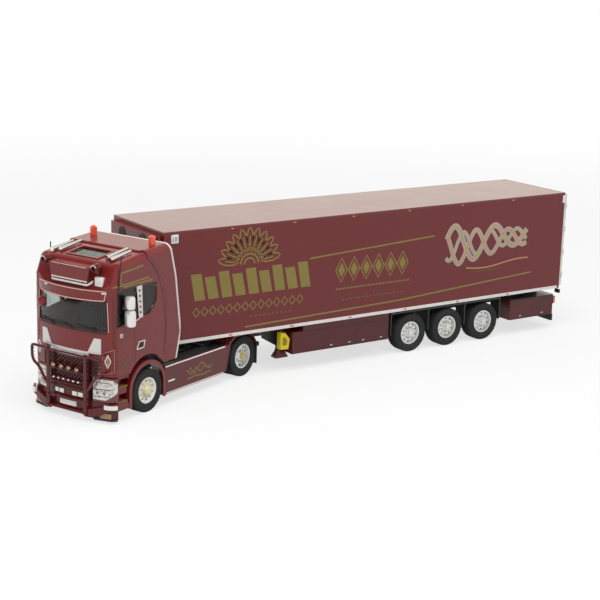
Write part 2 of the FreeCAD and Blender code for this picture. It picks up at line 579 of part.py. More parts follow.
def bull_bar():
    x = CAB_FRONT_X + BAR_GAP
    middle = (BAR_IN_Y + BAR_OUT_Y) / 2
    parts = [block(x - BAR_T / 2, x + BAR_T / 2, side * BAR_IN_Y, side * BAR_OUT_Y, BAR_LOW_Z, BAR_TOP_Z)
             for side in SIDES]
    parts += [rod(V(x, -middle, z), V(x, middle, z), BAR_R) for z in BAR_THICK_Z]
    parts += [rod(V(x, -middle, z), V(x, middle, z), BAR_THIN_R) for z in BAR_THIN_Z]
    back = x - LOOP_SETBACK
    lamps = []
    for side in SIDES:
        top, knee = V(back, side * LOOP_OUT_Y, LOOP_TOP_Z), V(back, side * LOOP_OUT_Y, LOOP_KNEE_Z)
        parts.append(tube([V(x, side * middle, LOOP_TOP_Z), top, knee,
                           V(x - LOOP_SETBACK / 2, side * LOOP_ELBOW_Y, LOOP_ELBOW_Z),
                           V(x, side * middle, LOOP_LOW_Z)], LOOP_BEND, LOOP_R))
        for share in LOOP_LAMP_SHARES:
            start = top + (knee - top) * share
            lamps.append(rod(start, start + X_AXIS * (LOOP_R + LAMP_PROUD), SMALL_LAMP_R))
        wing = nose_skin(WING_ROOT_Z[0], WING_TIP_Z[1], side * BAR_IN_Y, side * (WING_TIP_Y + OVERRUN),
                         WING_PROUD, WING_T - WING_PROUD)
        outline = [(BAR_IN_Y, WING_ROOT_Z[0]), (BAR_OUT_Y + WING_T, WING_ROOT_Z[0]), (WING_MID_Y, WING_MID_Z[0]),
                   (WING_TIP_Y, WING_TIP_Z[0]), (WING_TIP_Y, WING_TIP_Z[1]), (WING_MID_Y, WING_MID_Z[1]),
                   (BAR_IN_Y, WING_ROOT_Z[1])]
        cutter = slab_yz([(side * y, z) for y, z in outline], 0, HEADLAMP_REAR_X, CAB_FRONT_X + OVERRUN * 2)
        parts.append(wing.common(cutter))
        lamp = nose_skin(WING_LAMP_Z[0], WING_LAMP_Z[1], side * WING_LAMP_Y[0], side * WING_LAMP_Y[1],
                         WING_PROUD + LAMP_PROUD, -WING_PROUD)
        lamps.append(lamp.common(cutter))
        fog = nose_skin(FOG_LAMP_Z[0], FOG_LAMP_Z[1], side * FOG_LAMP_Y[0], side * FOG_LAMP_Y[1],
                        BUMPER_PROUD + LAMP_PROUD, -BUMPER_PROUD)
        lamps.append(fog)
        foot = block(CAB_FRONT_X - CAB_BOW, x, side * BAR_IN_Y, side * BAR_OUT_Y, BUMPER_LOW_Z + BAR_R,
                     BUMPER_LOW_Z + BAR_R * 6)
        parts.append(foot.cut(plan_prism(0, GRILLE_TOP_Z, -BUMPER_PROUD)))
    bar = joined(*parts)
    add("bull_bar", bar)
    rail_z = SPOT_Z - SPOT_R
    rail = [rod(V(x, -BAR_IN_Y, rail_z), V(x, BAR_IN_Y, rail_z), BAR_THIN_R)]
    for y in SPOT_Y:
        rail.append(rod(V(x - SPOT_DEPTH / 2, y, SPOT_Z), V(x + SPOT_DEPTH / 2, y, SPOT_Z), SPOT_R))
    for y in ROW_LAMP_Y:
        lamps.append(rod(V(x, y, BAR_THIN_Z[2]), V(x + BAR_THIN_R + LAMP_PROUD, y, BAR_THIN_Z[2]), SMALL_LAMP_R))
    add("spot_lamps", joined(*rail), *[lamp.cut(bar) for lamp in lamps])


# Visor, roof light box with its rail and lamps, horns, beacons, mirrors and aerials
VISOR_LOW_Z = 57.3
VISOR_TOP_Z = 62.7
VISOR_T = 0.8
VISOR_GAP = 1.2
VISOR_HALF = 22.8
VISOR_LOW_HALF = 19.6
VISOR_CORNER_R = 2.6
VISOR_END_SETBACK = 4.6
LIGHTBOX_TOP_Z = 72.5
LIGHTBOX_LOW_Z = 65.0
LIGHTBOX_HALF = 12.6
LIGHTBOX_LOW_HALF = 10.8
LIGHTBOX_SETBACK = 0.6
RAIL_TUBE_R = 0.6
RAIL_TUBE_Z = 64.0
RAIL_END_Z = 67.2
RAIL_END_Y = 13.4
RAIL_BEND = 1.2
ROOF_DRUM_Y = 16.2
ROOF_DRUM_Z = 72.6
ROOF_DRUM_R = 1.9
ROOF_DRUM_SETBACK = 2.2
ROOF_BOX_Y = (13.7, 18.3)
ROOF_BOX_Z = (63.7, 68.2)
ROOF_BOX_SETBACK = 2.4
HORN_LENGTH = 14.4
HORN_PLACES = ((86.2, 14.3), (88.0, 17.8))
HORN_BELL_R = 1.1
HORN_NECK_R = 0.6
HORN_LIFT = 1.15
BEACON_X = 58.8
BEACON_Y = 18.2
BEACON_R = 1.7
BEACON_H = 4.6
MIRROR_X = 87.4
MIRROR_T = 2.2
MIRROR_IN_Y = 27.4
MIRROR_OUT_Y = 31.4
MIRROR_LOW_Z = 46.4
MIRROR_SPLIT_Z = 55.0
MIRROR_TOP_Z = 61.0
MIRROR_ARM_R = 0.5
KERB_MIRROR_Y = 17.4
KERB_MIRROR_W = 5.6
KERB_MIRROR_Z = (49.9, 54.6)
KERB_MIRROR_R = 1.8
AERIAL_R = 0.28
AERIAL_X = 90.2
AERIAL_FOOT_Z = 63.0
AERIAL_TOP_Z = 78.4
AERIAL_LEAN = 1.8
FAR_AERIAL_X = 84.6
FAR_AERIAL_Y = 21.8


def sun_visor():
    tip = CAB_FRONT_X + VISOR_GAP + VISOR_T
    end = CAB_FRONT_X - VISOR_END_SETBACK
    reach = VISOR_HALF + VISOR_T
    arcs = []
    for inset in (0, VISOR_T):
        arcs.append(Part.Arc(V(end - inset, -reach, VISOR_LOW_Z), V(tip - inset, 0, VISOR_LOW_Z),
                             V(end - inset, reach, VISOR_LOW_Z)).toShape())
    ends = [Part.LineSegment(V(end - VISOR_T, side * reach, VISOR_LOW_Z), V(end, side * reach, VISOR_LOW_Z)).toShape()
            for side in SIDES]
    skin = Part.Face(Part.Wire(Part.__sortEdges__(arcs + ends))).extrude(V(0, 0, VISOR_TOP_Z - VISOR_LOW_Z))
    shoulder = VISOR_TOP_Z - VISOR_CORNER_R * 2 / 3
    outline = [(-VISOR_LOW_HALF, VISOR_LOW_Z), (VISOR_LOW_HALF, VISOR_LOW_Z), (VISOR_HALF, shoulder),
               (VISOR_HALF, VISOR_TOP_Z), (-VISOR_HALF, VISOR_TOP_Z), (-VISOR_HALF, shoulder)]
    radii = [VISOR_CORNER_R, VISOR_CORNER_R, VISOR_T, VISOR_T, VISOR_T, VISOR_T]
    skin = skin.common(slab_yz(outline, radii, end - OVERRUN, tip + OVERRUN))
    arms = [block(CAB_FRONT_X - CAB_BOW * 2, tip - VISOR_T / 2, y - VISOR_T / 2, y + VISOR_T / 2,
                  VISOR_TOP_Z - VISOR_T * 2, VISOR_TOP_Z - VISOR_T) for y in (-LIGHTBOX_HALF, 0, LIGHTBOX_HALF)]
    room = Part.Face(Part.Wire([arcs[0], Part.LineSegment(V(end, -reach, VISOR_LOW_Z), V(end, reach, VISOR_LOW_Z))
                                .toShape()])).extrude(V(0, 0, VISOR_TOP_Z - VISOR_LOW_Z))
    whole = joined(skin, *[arm.common(room) for arm in arms]).cut(cab_form(0))
    add("sun_visor", max(whole.Solids, key=lambda solid: solid.Volume))


def light_box():
    front = CAB_FRONT_X - LIGHTBOX_SETBACK
    outline = [(-LIGHTBOX_LOW_HALF, LIGHTBOX_LOW_Z), (LIGHTBOX_LOW_HALF, LIGHTBOX_LOW_Z),
               (LIGHTBOX_HALF, LIGHTBOX_TOP_Z), (-LIGHTBOX_HALF, LIGHTBOX_TOP_Z)]
    box = slab_yz(outline, TRIM_PROUD * 2, ROOF_FRONT_X - OVERRUN, front)
    add("light_box", box.cut(cab_form(0)))
    root = ROOF_FRONT_X
    ends = [V(root, side * RAIL_END_Y, RAIL_END_Z) for side in SIDES]
    bends = [V(front - RAIL_TUBE_R, side * LIGHTBOX_LOW_HALF, RAIL_TUBE_Z) for side in SIDES]
    rail = tube([ends[0], bends[0], bends[1], ends[1]], RAIL_BEND, RAIL_TUBE_R).cut(cab_form(0))
    add("roof_rail", max(rail.Solids, key=lambda solid: solid.Volume))


def roof_lamps():
    lamps = [block(ROOF_FRONT_X, CAB_FRONT_X - ROOF_BOX_SETBACK, ROOF_BOX_Y[0], ROOF_BOX_Y[1], ROOF_BOX_Z[0],
                   ROOF_BOX_Z[1])]
    for side in SIDES:
        lamps.append(rod(V(ROOF_FRONT_X - OVERRUN, side * ROOF_DRUM_Y, ROOF_DRUM_Z),
                         V(CAB_FRONT_X - ROOF_DRUM_SETBACK, side * ROOF_DRUM_Y, ROOF_DRUM_Z), ROOF_DRUM_R))
    add("roof_lamps", *[lamp.cut(cab_form(0)) for lamp in lamps])


def air_horns():
    horns = []
    for side in SIDES:
        for x, y in HORN_PLACES:
            front = V(x, side * y, roof_height(x) + HORN_LIFT)
            rear = V(x - HORN_LENGTH, side * y, roof_height(x - HORN_LENGTH) + HORN_LIFT)
            cone = Part.makeCone(HORN_NECK_R, HORN_BELL_R, (front - rear).Length, rear, front - rear)
            post_x = x - HORN_LENGTH + OVERRUN * 2
            foot = rod(V(post_x, side * y, roof_height(post_x) - OVERRUN),
                       V(post_x, side * y, roof_height(post_x) + HORN_LIFT), HORN_NECK_R)
            horns.append(joined(cone, foot).cut(cab_form(0)))
    add("air_horns", *horns)


def beacons():
    rise = (SPOILER_Z - CAB_ROOF_Z - LIP_H) / (SEAM_TOP_X - DEFLECTOR_TOP_X)
    z = CAB_ROOF_Z + LIP_H + (SEAM_TOP_X - BEACON_X) * rise
    lamps = []
    for side in SIDES:
        foot = V(BEACON_X, side * BEACON_Y, z - SEAT_GAP)
        lamp = rod(foot, foot + Z_AXIS * (BEACON_H - BEACON_R / 2), BEACON_R)
        dome = Part.makeSphere(BEACON_R, foot + Z_AXIS * (BEACON_H - BEACON_R))
        lamps.append(joined(lamp, dome.common(rod(foot, foot + Z_AXIS * BEACON_H, BEACON_R)))
                     .cut(deflector_form(0, 0)))
    add("beacons", *lamps)


def mirrors():
    pair = []
    middle_x, middle_y = MIRROR_X + MIRROR_T / 2, (MIRROR_IN_Y + MIRROR_OUT_Y) / 2
    for low, high in ((MIRROR_LOW_Z, MIRROR_SPLIT_Z), (MIRROR_SPLIT_Z + SEAT_GAP, MIRROR_TOP_Z)):
        pair.append(slab_xy([(MIRROR_X, MIRROR_IN_Y), (MIRROR_X + MIRROR_T, MIRROR_IN_Y),
                             (MIRROR_X + MIRROR_T, MIRROR_OUT_Y), (MIRROR_X, MIRROR_OUT_Y)],
                            [SIDE_GAP, MIRROR_T / 3, MIRROR_T / 3, SIDE_GAP], low, high))
    bracket = rod(V(middle_x, middle_y, MIRROR_LOW_Z + MIRROR_T), V(middle_x, middle_y, MIRROR_TOP_Z - MIRROR_T),
                  MIRROR_ARM_R)
    arms = [rod(V(middle_x, CAB_HALF, z), V(middle_x, MIRROR_IN_Y + MIRROR_T / 2, z), MIRROR_ARM_R)
            for z in (MIRROR_LOW_Z + MIRROR_T / 2, MIRROR_TOP_Z - MIRROR_T / 2)]
    y0, y1 = -KERB_MIRROR_Y - KERB_MIRROR_W / 2, -KERB_MIRROR_Y + KERB_MIRROR_W / 2
    z0, z1 = KERB_MIRROR_Z
    front = CAB_FRONT_X - BROW_SETBACK
    kerb = slab_yz([(y0, z0), (y1, z0), (y1, z1), (y0, z1)], KERB_MIRROR_R, front, front + MIRROR_T)
    stem = rod(V(front, -KERB_MIRROR_Y, z1 - KERB_MIRROR_R), V(front, -KERB_MIRROR_Y, VISOR_LOW_Z + VISOR_T),
               MIRROR_ARM_R)
    kerb = joined(kerb, stem).cut(nodes["sun_visor"] + [cab_form(0)])
    add("mirrors", *(both_sides(joined(bracket, *(pair + arms))) + [max(kerb.Solids, key=lambda s: s.Volume)]))


def aerials():
    y = CAB_HALF + AERIAL_R + SIDE_GAP
    near = joined(rod(V(AERIAL_X, y, AERIAL_FOOT_Z), V(AERIAL_X - AERIAL_LEAN, y, AERIAL_TOP_Z), AERIAL_R),
                  rod(V(AERIAL_X - AERIAL_R, CAB_HALF - SIDE_GAP, AERIAL_FOOT_Z + AERIAL_R),
                      V(AERIAL_X - AERIAL_R, y, AERIAL_FOOT_Z + AERIAL_R), AERIAL_R * 3 / 2))
    far = rod(V(FAR_AERIAL_X, -FAR_AERIAL_Y, CAB_ROOF_FRONT_Z - SHOULDER_R),
              V(FAR_AERIAL_X, -FAR_AERIAL_Y, AERIAL_TOP_Z - SEAT_GAP), AERIAL_R)
    add("aerials", near.cut(cab_form(0)), far.cut(cab_form(0)))


# The tractor's chassis: ladder frame, front beam, fifth wheel, mudguards, skirts and tail
RAIL_LOW_Z = 14.2
RAIL_TOP_Z = 19.2
RAIL_REAR_X = -18.6
RAIL_FRONT_X = 90.0
CROSS_X = (-15.4, 14.0, 34.0, 60.0, 84.0)
CROSS_T = 2.4
DECK_REAR_X = 22.0
DECK_FRONT_X = 52.0
DECK_HALF = 13.0
DECK_T = 0.8
CAB_MOUNT_X = (58.5, 86.0)
AXLE_R = 1.0
HANGER_W = 3.4


def hangers_at(x, z_top, y, hub_z, bore):
    """Two blocks that hang from the rails and carry an axle in their bores."""
    low = hub_z - bore - RAIL_W / 2
    return [block(x - HANGER_W / 2, x + HANGER_W / 2, side * y, side * (y + RAIL_W), low, z_top)
            for side in SIDES]


def chassis_frame():
    parts = [block(RAIL_REAR_X, RAIL_FRONT_X, side * RAIL_Y, side * (RAIL_Y + RAIL_W), RAIL_LOW_Z, RAIL_TOP_Z)
             for side in SIDES]
    parts += [block(x - CROSS_T / 2, x + CROSS_T / 2, -RAIL_Y, RAIL_Y, RAIL_LOW_Z + RAIL_W / 2,
                    RAIL_TOP_Z - RAIL_W / 2) for x in CROSS_X]
    parts.append(block(DECK_REAR_X, DECK_FRONT_X, -DECK_HALF, DECK_HALF, RAIL_TOP_Z, RAIL_TOP_Z + DECK_T))
    parts += [block(x - CROSS_T / 2, x + CROSS_T / 2, side * RAIL_Y, side * (RAIL_Y + RAIL_W), RAIL_TOP_Z,
                    CAB_FLOOR_Z) for x in CAB_MOUNT_X for side in SIDES]
    parts += hangers_at(DRIVE_AXLE_X, RAIL_LOW_Z, RAIL_Y, HUB_Z, AXLE_R + RUN_GAP)
    frame = joined(*parts)
    bore = rod(V(DRIVE_AXLE_X, -CAB_HALF, HUB_Z), V(DRIVE_AXLE_X, CAB_HALF, HUB_Z), AXLE_R + RUN_GAP)
    add("chassis_frame", frame.cut(bore))


KNUCKLE_Y = 17.0
EYE_R = 1.7
EYE_H = 3.2
PIN_R = 0.7
BEAM_H = 2.2
BEAM_W = 2.4
YOKE_T = 0.9
STUB_R = 0.9
STEER_WHEEL_Y = 21.6
STUB_END_Y = 23.2
HUB_ROOT = 1.1


def front_axle():
    beam = block(FRONT_AXLE_X - BEAM_W / 2, FRONT_AXLE_X + BEAM_W / 2, -KNUCKLE_Y, KNUCKLE_Y, HUB_Z - BEAM_H / 2,
                 HUB_Z + BEAM_H / 2)
    parts = [beam]
    for side in SIDES:
        parts.append(rod(V(FRONT_AXLE_X, side * KNUCKLE_Y, HUB_Z - EYE_H / 2),
                         V(FRONT_AXLE_X, side * KNUCKLE_Y, HUB_Z + EYE_H / 2), EYE_R))
        parts.append(block(FRONT_AXLE_X - HANGER_W / 2, FRONT_AXLE_X + HANGER_W / 2, side * RAIL_Y,
                           side * (RAIL_Y + RAIL_W), HUB_Z, RAIL_LOW_Z))
    whole = joined(*parts)
    for side in SIDES:
        whole = whole.cut(rod(V(FRONT_AXLE_X, side * KNUCKLE_Y, HUB_Z - EYE_H),
                              V(FRONT_AXLE_X, side * KNUCKLE_Y, HUB_Z + EYE_H), PIN_R + RUN_GAP))
    add("front_axle", whole)


def steering_knuckle(side):
    y = side * KNUCKLE_Y
    top = HUB_Z + EYE_H / 2 + RUN_GAP * 2
    low = HUB_Z - EYE_H / 2 - RUN_GAP * 2
    reach = EYE_R + RUN_GAP * 4
    parts = [rod(V(FRONT_AXLE_X, y, low - YOKE_T), V(FRONT_AXLE_X, y, top + YOKE_T), PIN_R)]
    for z0, z1 in ((low - YOKE_T, low), (top, top + YOKE_T)):
        parts.append(rod(V(FRONT_AXLE_X, y, z0), V(FRONT_AXLE_X, y, z1), EYE_R))
        parts.append(block(FRONT_AXLE_X - PIN_R, FRONT_AXLE_X + PIN_R, y, y + side * (reach + YOKE_T), z0, z1))
    parts.append(block(FRONT_AXLE_X - PIN_R * 2, FRONT_AXLE_X + PIN_R * 2, y + side * reach,
                       y + side * (reach + YOKE_T), low - YOKE_T, top + YOKE_T))
    parts.append(rod(V(FRONT_AXLE_X, y + side * reach, HUB_Z), V(FRONT_AXLE_X, side * STUB_END_Y, HUB_Z), STUB_R))
    add("steering_knuckle_" + SIDE_NAMES[side], joined(*parts))


# Wheels: each tyre is one turned solid, each rim a dished disc with a hub
RIM_R = 6.3
TYRE_SHOULDER = 0.7
FRONT_TYRE_W = 6.2
TWIN_TYRE_W = 5.2
TWIN_GAP = 0.5
TRAILER_TYRE_W = 7.4
RIM_LIP = 0.5
RIM_WALL = 0.7
HUB_R = 2.3
FRONT_DISH = 0.7
FRONT_NOSE = 0.6
DRIVE_DISH = 1.9
DRIVE_NOSE = 1.6
TRAILER_DISH = 1.3
TRAILER_NOSE = 1.2


def tyre(centre, width):
    half = width / 2
    profile = [(-half + RIM_LIP, RIM_R), (half - RIM_LIP, RIM_R), (half, RIM_R + TYRE_SHOULDER * 2),
               (half - TYRE_SHOULDER / 3, TYRE_R - TYRE_SHOULDER), (half - TYRE_SHOULDER, TYRE_R),
               (-half + TYRE_SHOULDER, TYRE_R), (-half + TYRE_SHOULDER / 3, TYRE_R - TYRE_SHOULDER),
               (-half, RIM_R + TYRE_SHOULDER * 2)]
    return turned(profile, centre)


def rim(centre, side, width, dish, nose, bore, root=0.0):
    """A dished rim: side is where it faces, dish how deep its disc lies, nose how far the hub stands."""
    half = width / 2 - RIM_LIP
    disc = half - dish
    profile = [(half, RIM_R), (half, RIM_R - RIM_WALL), (disc, RIM_R - RIM_WALL * 2), (disc, HUB_R * 3 / 2),
               (disc + nose, HUB_R), (disc + nose, bore), (-half + root, bore), (-half + root, HUB_R),
               (disc - RIM_WALL, HUB_R), (disc - RIM_WALL, RIM_R - RIM_WALL * 2), (-half, RIM_R - RIM_WALL),
               (-half, RIM_R)]
    return turned([(side * along, radius) for along, radius in profile], centre)


def front_wheel(side):
    centre = V(FRONT_AXLE_X, side * STEER_WHEEL_Y, HUB_Z)
    add("front_tyre_" + SIDE_NAMES[side], tyre(centre, FRONT_TYRE_W))
    disc = rim(centre, side, FRONT_TYRE_W, FRONT_DISH, FRONT_NOSE, STUB_R + RUN_GAP, HUB_ROOT)
    cap_y = side * (STEER_WHEEL_Y + FRONT_TYRE_W / 2 - RIM_LIP - FRONT_DISH + FRONT_NOSE)
    cap = rod(V(FRONT_AXLE_X, side * (STUB_END_Y + RUN_GAP), HUB_Z), V(FRONT_AXLE_X, cap_y + side * RIM_LIP, HUB_Z),
              HUB_R - RIM_LIP)
    add("front_rim_" + SIDE_NAMES[side], joined(disc, cap))


def drive_wheels():
    outer = CAB_HALF - SEAT_GAP - TWIN_TYRE_W / 2
    inner = outer - TWIN_TYRE_W - TWIN_GAP
    tyres, metal = [], [rod(V(DRIVE_AXLE_X, -outer, HUB_Z), V(DRIVE_AXLE_X, outer, HUB_Z), AXLE_R)]
    for side in SIDES:
        for y in (outer, inner):
            tyres.append(tyre(V(DRIVE_AXLE_X, side * y, HUB_Z), TWIN_TYRE_W))
        for y, way in ((outer, side), (inner, -side)):
            metal.append(rim(V(DRIVE_AXLE_X, side * y, HUB_Z), way, TWIN_TYRE_W, DRIVE_DISH, DRIVE_NOSE, AXLE_R / 2))
    add("drive_tyres", *tyres)
    add("drive_axle", joined(*metal))


FIFTH_R = 9.4
FIFTH_T = 1.4
FIFTH_TOP_Z = 22.9
FIFTH_SLOT = 3.0
KINGPIN_R = 1.0
KINGPIN_PLATE_Z = 23.1


def fifth_wheel():
    low = FIFTH_TOP_Z - FIFTH_T
    plate = rod(V(0, 0, low), V(0, 0, FIFTH_TOP_Z), FIFTH_R)
    tail = -FIFTH_R * 3 / 2
    ears = slab_xy([(0, -FIFTH_R), (0, FIFTH_R), (tail, FIFTH_R / 2), (tail, -FIFTH_R / 2)], 0, low, FIFTH_TOP_Z)
    jaw = KINGPIN_R + RUN_GAP
    throat = slab_xy([(0, -jaw), (-FIFTH_R * 2, -FIFTH_SLOT), (-FIFTH_R * 2, FIFTH_SLOT), (0, jaw)], 0,
                     low - OVERRUN, FIFTH_TOP_Z + OVERRUN)
    bore = rod(V(0, 0, low - OVERRUN), V(0, 0, FIFTH_TOP_Z + OVERRUN), jaw)
    whole = joined(plate, ears).cut([throat, bore])
    legs = [block(-FIFTH_SLOT, FIFTH_SLOT, side * RAIL_Y, side * (RAIL_Y + RAIL_W), RAIL_TOP_Z, low) for side in SIDES]
    add("fifth_wheel", joined(whole, *legs))


FENDER_X = 69.0
FENDER_Z = 12.2
FENDER_R = 13.3
FENDER_T = 0.7
FLANGE_R = 11.4
FLANGE_T = 0.5
FENDER_IN_Y = 17.6
FENDER_LOW_Z = 5.0
GUARD_R = 12.3
GUARD_T = 0.8
GUARD_IN_Y = 12.6
GUARD_LOW_Z = 15.7
GUARD_FRONT_X = 1.2
GUARD_LEG_TOP_X = 5.3
GUARD_LEG_TOP_Z = 20.3
GUARD_LEG_LOW_X = 9.0
GUARD_LEG_LOW_Z = 6.3
FLAP_X = -18.0
FLAP_T = 0.6
FLAP_LOW_Z = 4.4
FLAP_TOP_Z = 15.4
TAIL_LAMP_T = 0.8
TAIL_LAMP_W = 7.0
TAIL_LAMP_H = 2.2


def guard_form(inset):
    """The drive wheels' guard seen from the side: round behind, flat on top, sloping leg in front."""
    top = HUB_Z + GUARD_R - inset
    round_part = rod(V(DRIVE_AXLE_X, GUARD_IN_Y, HUB_Z), V(DRIVE_AXLE_X, CAB_HALF, HUB_Z), GUARD_R - inset)
    points = [(DRIVE_AXLE_X, top), (GUARD_FRONT_X - inset / 2, top), (GUARD_LEG_TOP_X - inset, GUARD_LEG_TOP_Z - inset / 2),
              (GUARD_LEG_LOW_X - inset, GUARD_LEG_LOW_Z), (DRIVE_AXLE_X, GUARD_LEG_LOW_Z)]
    return round_part.fuse(slab_xz(points, 0, GUARD_IN_Y, CAB_HALF))


def mudguards():
    outer = arch_solid(FENDER_X, FENDER_Z, FENDER_R, FENDER_IN_Y, CAB_HALF, FENDER_LOW_Z)
    tunnel = arch_solid(FENDER_X, FENDER_Z, FENDER_R - FENDER_T, FENDER_IN_Y - OVERRUN, CAB_HALF - FLANGE_T,
                        FENDER_LOW_Z - OVERRUN)
    mouth = arch_solid(FENDER_X, FENDER_Z, FLANGE_R, FENDER_IN_Y, CAB_HALF + OVERRUN, FENDER_LOW_Z - OVERRUN)
    fender = outer.cut([tunnel, mouth])
    guard = guard_form(0).cut(guard_form(GUARD_T))
    keep = [block(DRIVE_AXLE_X - GUARD_R, DRIVE_AXLE_X, 0, CAB_HALF, GUARD_LOW_Z, BOX_BOTTOM_Z),
            block(DRIVE_AXLE_X, GUARD_LEG_LOW_X, 0, CAB_HALF, GUARD_LEG_LOW_Z, BOX_BOTTOM_Z)]
    low_cut = slab_xz([(DRIVE_AXLE_X, 0), (GUARD_LEG_LOW_X - GUARD_T, 0), (GUARD_LEG_LOW_X - GUARD_T, GUARD_LEG_LOW_Z),
                       (DRIVE_AXLE_X + GUARD_R - GUARD_T, GUARD_LEG_LOW_Z), (DRIVE_AXLE_X, GUARD_LEG_LOW_Z)], 0,
                      GUARD_IN_Y, CAB_HALF)
    guard = guard.common(joined(*keep)).cut(low_cut)
    guard = max(guard.Solids, key=lambda solid: solid.Volume)
    low, high = DRIVE_AXLE_X - CROSS_T / 2, DRIVE_AXLE_X + CROSS_T / 2
    stay = block(low, high, RAIL_Y + RAIL_W, GUARD_IN_Y, RAIL_TOP_Z - RAIL_W, RAIL_TOP_Z)
    post = block(low, high, GUARD_IN_Y - GUARD_T, GUARD_IN_Y, RAIL_TOP_Z - RAIL_W, HUB_Z + GUARD_R - GUARD_T / 2)
    add("mudguards", *(both_sides(fender) + both_sides(joined(guard, stay, post))))
    flap = block(FLAP_X - FLAP_T, FLAP_X, GUARD_IN_Y, CAB_HALF - SEAT_GAP, FLAP_LOW_Z, FLAP_TOP_Z)
    bar = block(FLAP_X - FLAP_T - RAIL_W, FLAP_X - FLAP_T, -CAB_HALF + SEAT_GAP, CAB_HALF - SEAT_GAP,
                FLAP_TOP_Z - RAIL_W, FLAP_TOP_Z)
    add("tail_bar", joined(bar, *both_sides(flap)))
    rear = FLAP_X - FLAP_T - RAIL_W
    lamp = block(rear - TAIL_LAMP_T, rear, CAB_HALF - SEAT_GAP * 2, CAB_HALF - TAIL_LAMP_W, FLAP_TOP_Z - TAIL_LAMP_H,
                 FLAP_TOP_Z)
    add("tail_lamps", *both_sides(lamp))


SKIRT_LOW_Z = 5.5
SKIRT_TOP_Z = 19.7
SKIRT_FRONT_X = 56.6
SKIRT_REAR_TOP_X = 5.8
SKIRT_REAR_LOW_X = 9.5
SKIRT_T = 1.0
SKIRT_SHELF = 9.0
SKIRT_R = 0.8


def side_skirts():
    shelf = CAB_HALF - SKIRT_SHELF
    under = SKIRT_TOP_Z - SKIRT_T
    outline = [(shelf, SKIRT_TOP_Z), (shelf, under), (CAB_HALF - SKIRT_T, under),
               (CAB_HALF - SKIRT_T, SKIRT_LOW_Z), (CAB_HALF, SKIRT_LOW_Z), (CAB_HALF, SKIRT_TOP_Z)]
    skirt = slab_yz(outline, [0, 0, 0, 0, 0, SKIRT_R], SKIRT_REAR_TOP_X, SKIRT_FRONT_X)
    skirt = skirt.common(slab_xz([(SKIRT_REAR_TOP_X, SKIRT_TOP_Z), (SKIRT_REAR_LOW_X, SKIRT_LOW_Z),
                                  (SKIRT_FRONT_X, SKIRT_LOW_Z), (SKIRT_FRONT_X, SKIRT_TOP_Z)], 0, 0, CAB_HALF))
    skirt = skirt.cut(arch_solid(FENDER_X, FENDER_Z, FENDER_R + SIDE_GAP, 0, CAB_HALF + OVERRUN, 0))
    arms = [block(x - CROSS_T / 2, x + CROSS_T / 2, RAIL_Y + RAIL_W, shelf, RAIL_TOP_Z - SKIRT_T,
                  RAIL_TOP_Z) for x in (CROSS_X[1], CROSS_X[2])]
    add("side_skirts", *both_sides(joined(skirt, *arms)))


# The semi-trailer: box, floor, rear frame and doors, cooling unit
WALL_T = 1.2
FLOOR_T = 1.7
FLOOR_PROUD = 0.15
DECKING_T = 0.4
ROOF_T = 1.0
REAR_FRAME_L = 2.0
REAR_POST = 1.8
DOOR_T = 1.4
DOOR_GAP = 0.15
HINGE_R = 0.45
HINGE_OUT = 0.5
HINGE_COUNT = 4
ROD_R = 0.4
ROD_Y_SHARES = (0.36, 0.72)
UNIT_HALF = 23.8
UNIT_L = 3.2
UNIT_LOW_Z = 38.0
UNIT_TOP_Z = 78.3
UNIT_R = 1.6
UNIT_BULGE_L = 7.6
UNIT_BULGE_HALF = 21.0
UNIT_BULGE_TOP_Z = 70.0
UNIT_BULGE_R = 4.2
LOUVRES = 5
LOUVRE_HALF = 14.0
LOUVRE_T = 0.7
LOUVRE_H = 1.8
LOUVRE_STEP = 3.4
COUPLING_L = 46.0
COUPLING_HALF = 16.0


def trailer_box():
    floor_top = BOX_BOTTOM_Z + FLOOR_T
    under_roof = BOX_TOP_Z - ROOF_T
    rear = -BOX_L + REAR_FRAME_L + DOOR_T
    shell = block(rear, 0, -BOX_HALF, BOX_HALF, floor_top, under_roof)
    room = block(rear - OVERRUN, -WALL_T, -BOX_HALF + WALL_T, BOX_HALF - WALL_T, floor_top - OVERRUN,
                 under_roof + OVERRUN)
    add("trailer_walls", shell.cut(room))
    add("trailer_roof", block(rear, 0, -BOX_HALF, BOX_HALF, under_roof, BOX_TOP_Z))
    floor = block(rear, 0, -BOX_HALF - FLOOR_PROUD, BOX_HALF + FLOOR_PROUD, BOX_BOTTOM_Z, floor_top)
    inner = BOX_HALF - REAR_POST - SEAT_GAP
    decking = block(rear - REAR_FRAME_L + SEAT_GAP, -WALL_T - SEAT_GAP, -inner, inner, floor_top,
                    floor_top + DECKING_T)
    add("trailer_floor", joined(floor, decking))
    frame = block(rear - REAR_FRAME_L, rear, -BOX_HALF, BOX_HALF, BOX_BOTTOM_Z, BOX_TOP_Z)
    hole = block(rear - REAR_FRAME_L - OVERRUN, rear + OVERRUN, -BOX_HALF + REAR_POST, BOX_HALF - REAR_POST,
                 floor_top, under_roof - REAR_POST / 2)
    add("rear_frame", frame.cut(hole))


